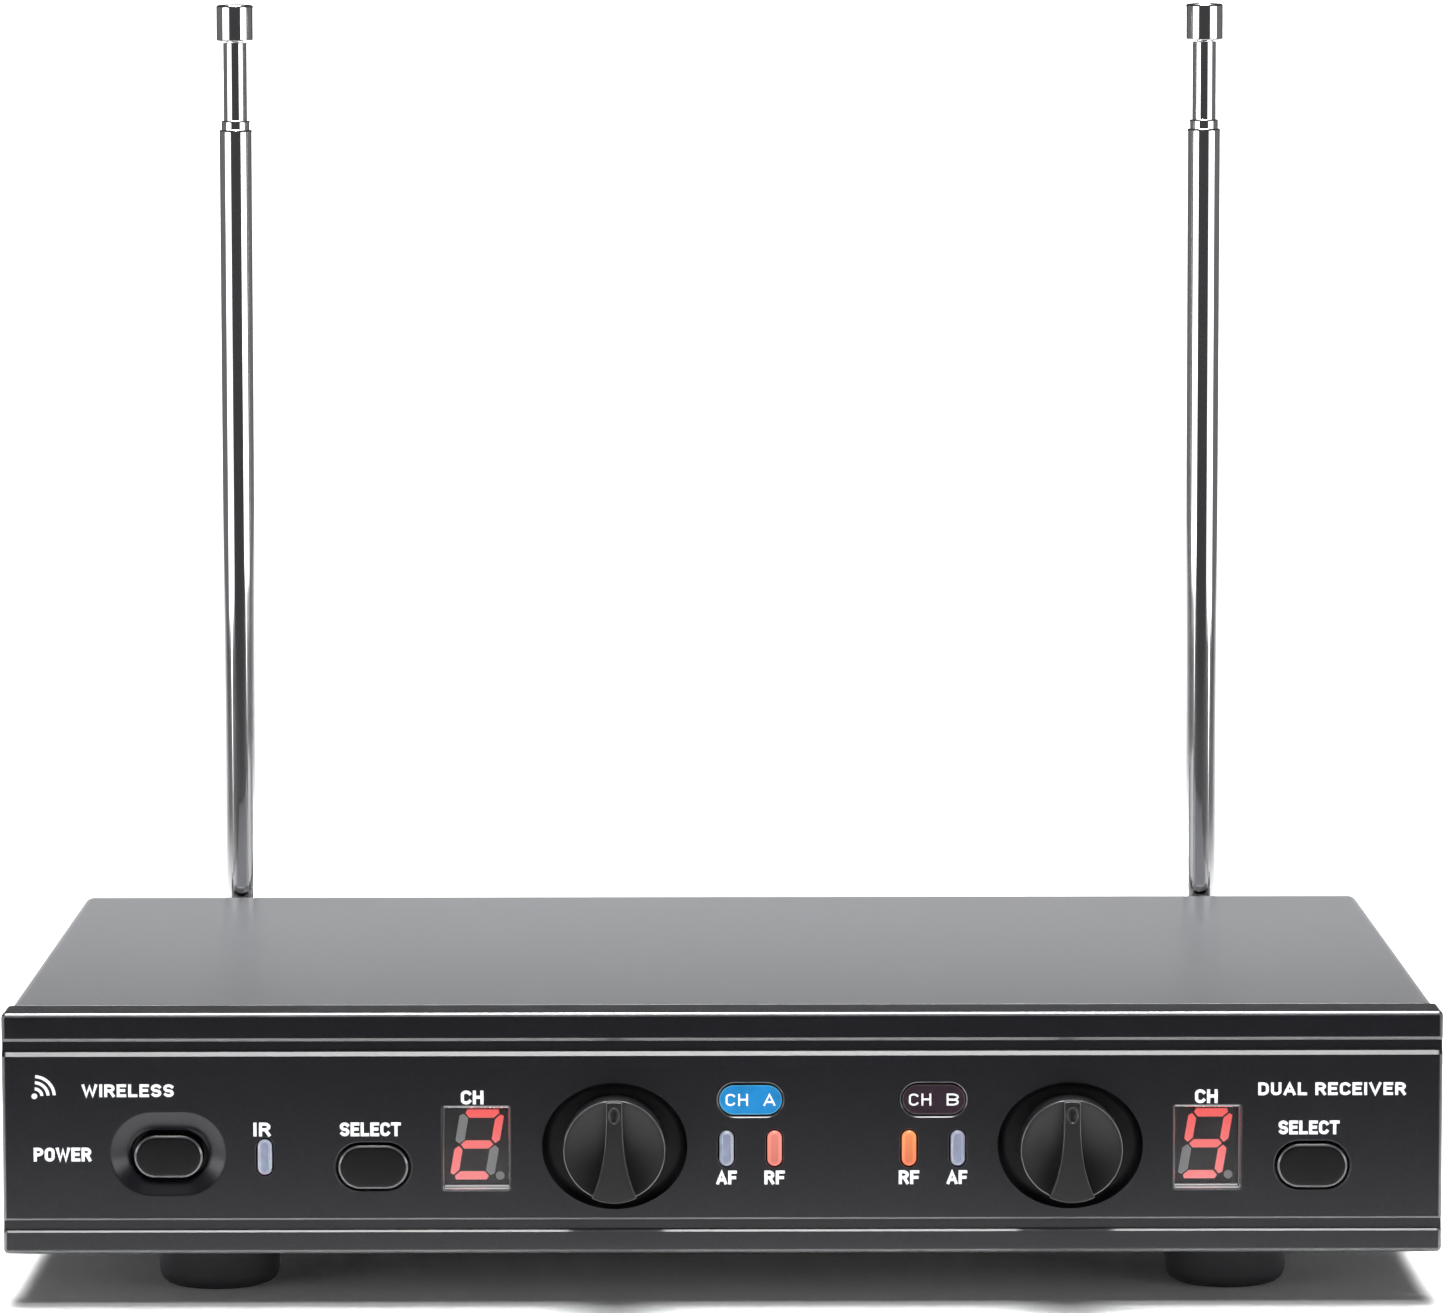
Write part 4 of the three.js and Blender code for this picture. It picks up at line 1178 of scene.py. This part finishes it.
# Each label's name, its words, its middle, and its width and height.
LABELS = (
    ("label_power", "POWER", (-96.2, 14.8), (8.4, 2.05)),
    ("label_ir", "IR", (-67.1, 18.45), (2.5, 2.05)),
    ("label_select_a", "SELECT", (-51.3, 18.45), (8.9, 2.05)),
    ("label_select_b", "SELECT", (85.5, 18.5), (8.9, 2.05)),
    ("label_ch_a", "CH", (-36.45, 23.12), (3.3, 2.05)),
    ("label_ch_b", "CH", (70.5, 23.12), (3.3, 2.05)),
    ("label_af_a", "AF", (0.6, 11.25), (3.0, 2.05)),
    ("label_rf_a", "RF", (7.6, 11.25), (3.0, 2.05)),
    ("label_rf_b", "RF", (27.2, 11.25), (3.0, 2.05)),
    ("label_af_b", "AF", (34.2, 11.25), (3.0, 2.05)),
    ("label_wireless", "WIRELESS", (-86.6, 24.2), (13.4, 1.9)),
    ("label_receiver", "DUAL RECEIVER", (88.8, 24.2), (21.5, 1.9)),
)
# The same for the back, where a label stands under the middle of a socket's node.
BACK_LABELS = (
    ("label_output_a", "OUTPUT A", "xlr_output_a", (11, 1.8)),
    ("label_output_b", "OUTPUT B", "xlr_output_b", (11, 1.8)),
    ("label_mix", "MIX", "jack_nut", (4, 1.8)),
    ("label_power_in", "DC IN", "power_inlet", (6, 1.8)),
)
BACK_LABEL_HEIGHT = 4.1
WAVES = {"at": (-100.2, 23.4), "radii": (1.1, 2.0, 2.9), "dot": 0.42, "stroke": 0.45, "spread": 42}


def radio_waves():
    """A generic sign for radio: a dot with three arcs."""
    x, z = WAVES["at"]
    dot = circle(WAVES["dot"], 24)(0)
    plates = [plate([(x + px, z + pz) for px, pz in dot], -PRINT, PRINT)]
    for radius in WAVES["radii"]:
        start, end = 45 - WAVES["spread"], 45 + WAVES["spread"]
        inner, outer = radius - WAVES["stroke"] / 2, radius + WAVES["stroke"] / 2
        points = arc(x, z, outer, start, end, 12) + arc(x, z, inner, end, start, 12)
        plates.append(plate(points, -PRINT, PRINT))
    piece("sign_radio", merge(*plates), WHITE_GLOW_LOOK)


def labels():
    for name, text, at, size in LABELS:
        words(name, text, at, size)
    radio_waves()
    back = extent("chassis")[1].y
    for name, text, node, size in BACK_LABELS:
        words(name, text, (centre(node)[0], BACK_LABEL_HEIGHT), size, back, side="back")


# ---------------------------------------------------------------- sockets on the back
XLR = {"cup": 9.5, "floor": 13.6, "fixing": 10, "pin_circle": 4.1}


def xlr_output(channel):
    """A three-pin socket: a flange with two countersunk holes, a barrel with a deep cup, and turned pins."""
    node = f"xlr_output_{channel}"
    at = centre(node)
    low, high = extent(node)
    seat = extent("chassis")[1].y + 0.3
    face = high.y
    floor = face - XLR["floor"]
    flange = stack(rounded(26, 26, 3), at, [(seat, 0)] + edge(face, 0.35, True))
    barrel = spun([(10.0, low.y), (10.4, low.y + 0.4), (10.4, seat + 0.1)], at)
    holes = [back_bore(circle(XLR["cup"]), at, floor, face, 0.4)]
    for side in (-1, 1):
        place = (at[0] + side * XLR["fixing"], at[1] - side * XLR["fixing"])
        holes.append(back_bore(circle(1.6, 32), place, seat - 1, face, 0.5))
    insert = spun([(9.4, floor - 0.2), (9.4, floor + 0.6), (8.8, floor + 0.9)], at)
    whole = join(cut(join(flange, barrel), *holes), insert)
    piece(f"{node}_fine", whole, SOCKET_LOOK, replaces=[node])
    section = [(1.2, 0.3), (1.2, 11.2), (1.1, 11.6), (0.8, 11.9), (0.4, 12)]
    section = [(radius, floor + along) for radius, along in section]
    pins = []
    for degrees in (30, 150, 270):
        a = math.radians(degrees)
        place = (at[0] + XLR["pin_circle"] * math.cos(a), at[1] + XLR["pin_circle"] * math.sin(a))
        pins.append(spun(section, place, 28))
    piece(f"{node}_pins", merge(*pins), NICKEL_LOOK)


def output_jack():
    """A jack socket's body with a round bush, held by a hexagonal nut."""
    low, high = extent("mix_output_jack")
    at = centre("mix_output_jack")
    wall = extent("chassis")[1].y - CHASSIS_SHEET - 0.3
    shell = bar(rounded(14, 14, 1), at, low.y, wall, 0.4)
    bush = spun([(4.7, wall - 0.6), (4.7, high.y - 0.3), (4.4, high.y)], at)
    whole = cut(join(shell, bush), back_bore(circle(3.25), at, wall - 22, high.y, 0.35))
    piece("mix_output_jack_fine", whole, SOCKET_LOOK, replaces=["mix_output_jack"])
    low, high = extent("jack_nut")
    nut = stack(circle(7.3, 6), at, [(low.y, 0.5), (low.y + 0.35, 0), (high.y - 0.5, 0), (high.y, 0.6)])
    nut = cut(nut, back_bore(circle(4.95), at, low.y - 1, high.y, 0.2))
    piece("jack_nut_fine", nut, NICKEL_LOOK, replaces=["jack_nut"], sharp=20)


def power_inlet():
    """A round low-voltage socket with its middle pin."""
    at = centre("power_inlet")
    low, high = extent("power_inlet")
    body = bar(rounded(9, 11, 0.8), at, low.y, high.y, 0.35)
    body = cut(body, back_bore(circle(3.1), at, high.y - 10, high.y, 0.3))
    piece("power_inlet_fine", body, SOCKET_LOOK, replaces=["power_inlet"])
    section = [(1, -10.3), (1, -1.6), (0.8, -1.3), (0.5, -1.2)]
    pin = spun([(radius, high.y + along) for radius, along in section], at, 28)
    piece("power_inlet_pin", pin, NICKEL_LOOK)


# ---------------------------------------------------------------- antennas
WALL = 0.25
PIN_BORE = 1.5
TUBES = {"outer": 2.725, "middle": 2.37, "inner": 1.98}


def ring_section(radius, bottom, top, lip=0.32):
    """A tube's wall as [radius, height] points, with its top lip rounded."""
    inner = radius - WALL
    section = [(inner, bottom), (radius, bottom), (radius, top - lip), (radius - 0.02, top - 0.6 * lip)]
    section += [(radius - 0.07, top - 0.25 * lip), (radius - 0.15, top), (inner + 0.03, top)]
    return section + [(inner, top - 0.04)]


def along_x(points, x0, x1, radius=0.25):
    """A solid along x from a convex outline of [depth, height] points, with rounded ends."""
    cx = sum(p[0] for p in points) / len(points)
    cz = sum(p[1] for p in points) / len(points)
    far = max(math.hypot(p[0] - cx, p[1] - cz) for p in points)
    ends = [(radius * (1 - math.cos(a)), radius * (1 - math.sin(a))) for a in quarter(4)]
    rings = [(x0 + along, 1 - inset / far) for along, inset in ends]
    rings += [(x1 - along, 1 - inset / far) for along, inset in ends[::-1]]
    return loft([[(x, cx + (p[0] - cx) * s, cz + (p[1] - cz) * s) for p in points] for x, s in rings])


def pin_place(side_name):
    """The middle of an antenna's fold pin as x, depth and height."""
    low, high = extent(f"fold_pin_{side_name}")
    return (low.x + high.x) / 2, (low.y + high.y) / 2, (low.z + high.z) / 2


def pin_bore(side_name):
    return loft(turned([(PIN_BORE, -8), (PIN_BORE, 8)], pin_place(side_name), "x", 32))


def antenna_bush(side_name):
    """The flanged bush in the back wall that the fork's stem turns in."""
    node = f"antenna_bush_{side_name}"
    x, y, z = pin_place(side_name)
    low, high = extent(node)
    wall = high.y - 3
    section = [(3.2, low.y), (4, low.y), (4, wall), (6.3, wall), (6.5, wall + 0.2), (6.5, wall + 1.7)]
    section += [(5.6, high.y - 0.2), (5.3, high.y), (3.4, high.y), (3.2, high.y - 0.2)]
    piece(f"{node}_fine", spun(section, (x, z), looped=True), NICKEL_LOOK, replaces=[node])


def antenna_fork(side_name):
    """The swivelling fork: a stem with a collar, and two ears for the fold pin."""
    node = f"antenna_fork_{side_name}"
    x, y, z = pin_place(side_name)
    start = extent(node)[0].y
    disc = extent(f"antenna_bush_{side_name}")[1].y + 0.3
    stem = [(2.8, start), (3, start + 0.2), (3, disc), (4.8, disc), (5, disc + 0.2)]
    stem += [(5, disc + 1.35), (4.75, disc + 1.6)]
    profile = arc(y, z, 4, -90, 90, 16) + [(disc + 1.3, z + 4), (disc + 1.3, z - 4)]
    ears = [along_x(profile, x + side * 2.7 - 0.9, x + side * 2.7 + 0.9) for side in (-1, 1)]
    fork = cut(join(spun(stem, (x, z)), *ears), pin_bore(side_name))
    piece(f"{node}_fine", fork, CHROME_LOOK, f"antenna_{side_name}_fork", [node])


def fold_pin(side_name):
    """A pin with two domed heads, each with a screwdriver slot."""
    node = f"fold_pin_{side_name}"
    x, y, z = pin_place(side_name)
    end = extent(node)[1].x - x
    head = [(1.3, -end), (1.9, -end + 0.12), (2.2, -end + 0.4), (2.2, -end + 0.68), (1.25, -end + 0.7)]
    section = head + [(radius, -along) for radius, along in head[::-1]]
    pin = loft(turned(section, (x, y, z), "x", 48))
    slots = []
    for side in (-1, 1):
        middle = x + side * end
        slots.append(block((middle - 0.3, middle + 0.3), (y - 3, y + 3), (z - 0.25, z + 0.25)))
    piece(f"{node}_fine", cut(pin, *slots), NICKEL_LOOK, f"antenna_{side_name}_fork", [node])


def outer_tube(side_name):
    """The thickest tube, with a rounded bottom, a tongue between the fork's ears and a rolled top lip."""
    node = f"outer_tube_{side_name}"
    x, y, z = pin_place(side_name)
    radius, round_edge = TUBES["outer"], 0.6
    bottom, top = z + 6, extent(node)[1].z
    section = [(0.02, bottom)]
    section += [
        (radius - round_edge + round_edge * math.sin(a), bottom + round_edge * (1 - math.cos(a)))
        for a in quarter(6)
    ]
    section += [(radius, top - 0.4), (2.7, top - 0.22), (2.64, top - 0.08), (2.56, top), (2.5, top)]
    section += [(2.475, top - 0.05), (2.475, z + 11.5), (0.02, z + 11.5)]
    outer = loft(turned(section, (x, y, 0), "height"))
    profile = arc(y, z, 3.4, 180, 360, 20) + [(y + 2.45, z + 6.7), (y - 2.45, z + 6.7)]
    tongue = along_x(profile, x - 1.5, x + 1.5, 0.2)
    outer = cut(join(outer, tongue), pin_bore(side_name))
    piece(f"{node}_fine", outer, CHROME_LOOK, f"antenna_{side_name}_outer", [node])


def sliding_tube(part, side_name):
    """A plain tube. The inner one's lip reaches up to the cap."""
    node = f"{part}_tube_{side_name}"
    x, y, z = pin_place(side_name)
    low, high = extent(node)
    top = high.z + (0.24 if part == "inner" else 0)
    whole = loft(turned(ring_section(TUBES[part], low.z, top), (x, y, 0), "height"), looped=True)
    piece(f"{node}_fine", whole, CHROME_LOOK, f"antenna_{side_name}_{part}", [node])


def antenna_tip(side_name):
    """The thin rod with its flat cap."""
    node = f"tip_rod_{side_name}"
    x, y, z = pin_place(side_name)
    low, high = extent(node)
    seat = extent(f"inner_tube_{side_name}")[1].z + 0.3
    cap, top = 3.075, high.z
    section = [(1.35, low.z), (1.55, low.z + 0.2), (1.55, seat), (cap - 0.35, seat), (cap - 0.1, seat + 0.1)]
    section += [(cap, seat + 0.35), (cap, top - 0.6), (cap - 0.06, top - 0.4), (cap - 0.25, top - 0.18)]
    section += [(cap - 0.5, top - 0.1), (cap / 2, top - 0.03), (0.4, top)]
    tip = loft(turned(section, (x, y, 0), "height"))
    piece(f"{node}_fine", tip, CHROME_LOOK, f"antenna_{side_name}_tip", [node])


def antenna(side_name):
    antenna_bush(side_name)
    antenna_fork(side_name)
    fold_pin(side_name)
    outer_tube(side_name)
    for part in ("middle", "inner"):
        sliding_tube(part, side_name)
    antenna_tip(side_name)


# ---------------------------------------------------------------- what stays as the frame has it
KEPT = {
    "front_board": BOARD_LOOK,
    "main_board": BOARD_LOOK,
    "board_ribbon": RIBBON_LOOK,
    "power_switch": SOCKET_LOOK,
}
KEPT_PER_CHANNEL = {
    "select_switch": SOCKET_LOOK,
    "pot_shaft": NICKEL_LOOK,
    "level_pot": NICKEL_LOOK,
    "radio_shield": NICKEL_LOOK,
}


def dress_kept():
    """Gives the nodes inside the unit their looks."""
    looks = dict(KEPT)
    for kind, look in KEPT_PER_CHANNEL.items():
        looks.update({f"{kind}_{c}": look for c in CHANNELS})
    looks.update({f"antenna_lead_{side_name}": SOCKET_LOOK for side_name in SIDES})
    for name, look in looks.items():
        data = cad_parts[name].data
        data.materials.clear()
        data.materials.append(look)


# ---------------------------------------------------------------- stage and light
STAGE = {"half_width": 1.0, "near": -1.6, "far": 1.0, "curve": 0.5, "rise": 60}
WORLD = (0.06, 0.06, 0.063, 1)
# A softbox is its place, the point it faces, its width and height, its brightness and its spread in degrees.
SOFTBOXES = {
    "softbox_top": ((0, 0.07, 0.55), (0, 0.07, 0), (0.7, 0.3), 3.9, 42),
    "softbox_front": ((0, -0.25, 0.56), (0, -0.04, 0), (0.8, 0.12), 0.68, 40),
    "softbox_left": ((-0.85, -0.5, 0.12), (0, 0.06, 0.12), (0.8, 0.4), 0.5, 60),
    "softbox_right": ((0.85, -0.5, 0.12), (0, 0.06, 0.12), (0.8, 0.4), 0.5, 60),
    "softbox_wing_left": ((-1.1, 0.35, 0.2), (-0.08, 0.12, 0.12), (1.1, 0.6), 0.12, 180),
    "softbox_wing_right": ((1.1, 0.35, 0.2), (0.08, 0.12, 0.12), (1.1, 0.6), 0.12, 180),
    "softbox_backdrop": ((0, 0.5, 0.9), (0, 1.0, 0.0), (1.2, 0.6), 8.0, 110),
}


def stage_sheet():
    """A pale floor that curves up behind the unit, low enough to look over it from behind."""
    near, far, curve = STAGE["near"], STAGE["far"], STAGE["curve"]
    rise = [math.radians(STAGE["rise"]) * i / 8 for i in range(9)]
    path = [(near, 0.0)] + [(far + curve * math.sin(a), curve * (1 - math.cos(a))) for a in rise]
    bm = bmesh.new()
    rows = [[bm.verts.new((x, y, z)) for y, z in path] for x in (-STAGE["half_width"], STAGE["half_width"])]
    for i in range(len(path) - 1):
        bm.faces.new((rows[0][i], rows[1][i], rows[1][i + 1], rows[0][i + 1]))
    mesh = bpy.data.meshes.new("stage_sheet")
    bm.to_mesh(mesh)
    bm.free()
    mesh.shade_smooth()
    look = Look("stage_white")
    paper = look.noise(2, 3)
    look.set(
        Base_Color=look.ramp(paper, (0.2, grey(0.88)), (0.8, grey(0.92))),
        Roughness=0.7,
        Normal=look.bump(paper, 0.02, 0.2),
    )
    mesh.materials.append(look.material)
    obj = bpy.data.objects.new("stage_sheet", mesh)
    scene.collection.objects.link(obj)


def softbox(name, place, aim, size, brightness, spread):
    """An evenly lit rectangle that the camera does not see."""
    data = bpy.data.lights.new(name, "AREA")
    data.shape = "RECTANGLE"
    data.size, data.size_y = size
    data.energy = brightness * math.pi * size[0] * size[1]
    data.spread = math.radians(spread)
    light = bpy.data.objects.new(name, data)
    light.visible_camera = False
    light.location = place
    light.rotation_euler = (Vector(aim) - Vector(place)).to_track_quat("-Z", "Y").to_euler()
    scene.collection.objects.link(light)


def studio():
    world = bpy.data.worlds.new("studio")
    world.use_nodes = True
    world.node_tree.nodes["Background"].inputs["Color"].default_value = WORLD
    scene.world = world
    for name, facts in SOFTBOXES.items():
        softbox(name, *facts)
    scene.view_settings.view_transform = "Standard"


# ---------------------------------------------------------------- the whole
make_camera()
stage_sheet()
studio()
front_panel()
top_cover()
cover_screws()
chassis()
feet()
for button in STEM:
    push_button(button)
for c in CHANNELS:
    level_knob(c)
    display(c)
    badge(c)
    xlr_output(c)
for name in LAMPS:
    lamp(name)
labels()
output_jack()
power_inlet()
for side_name in SIDES:
    antenna(side_name)
dress_kept()
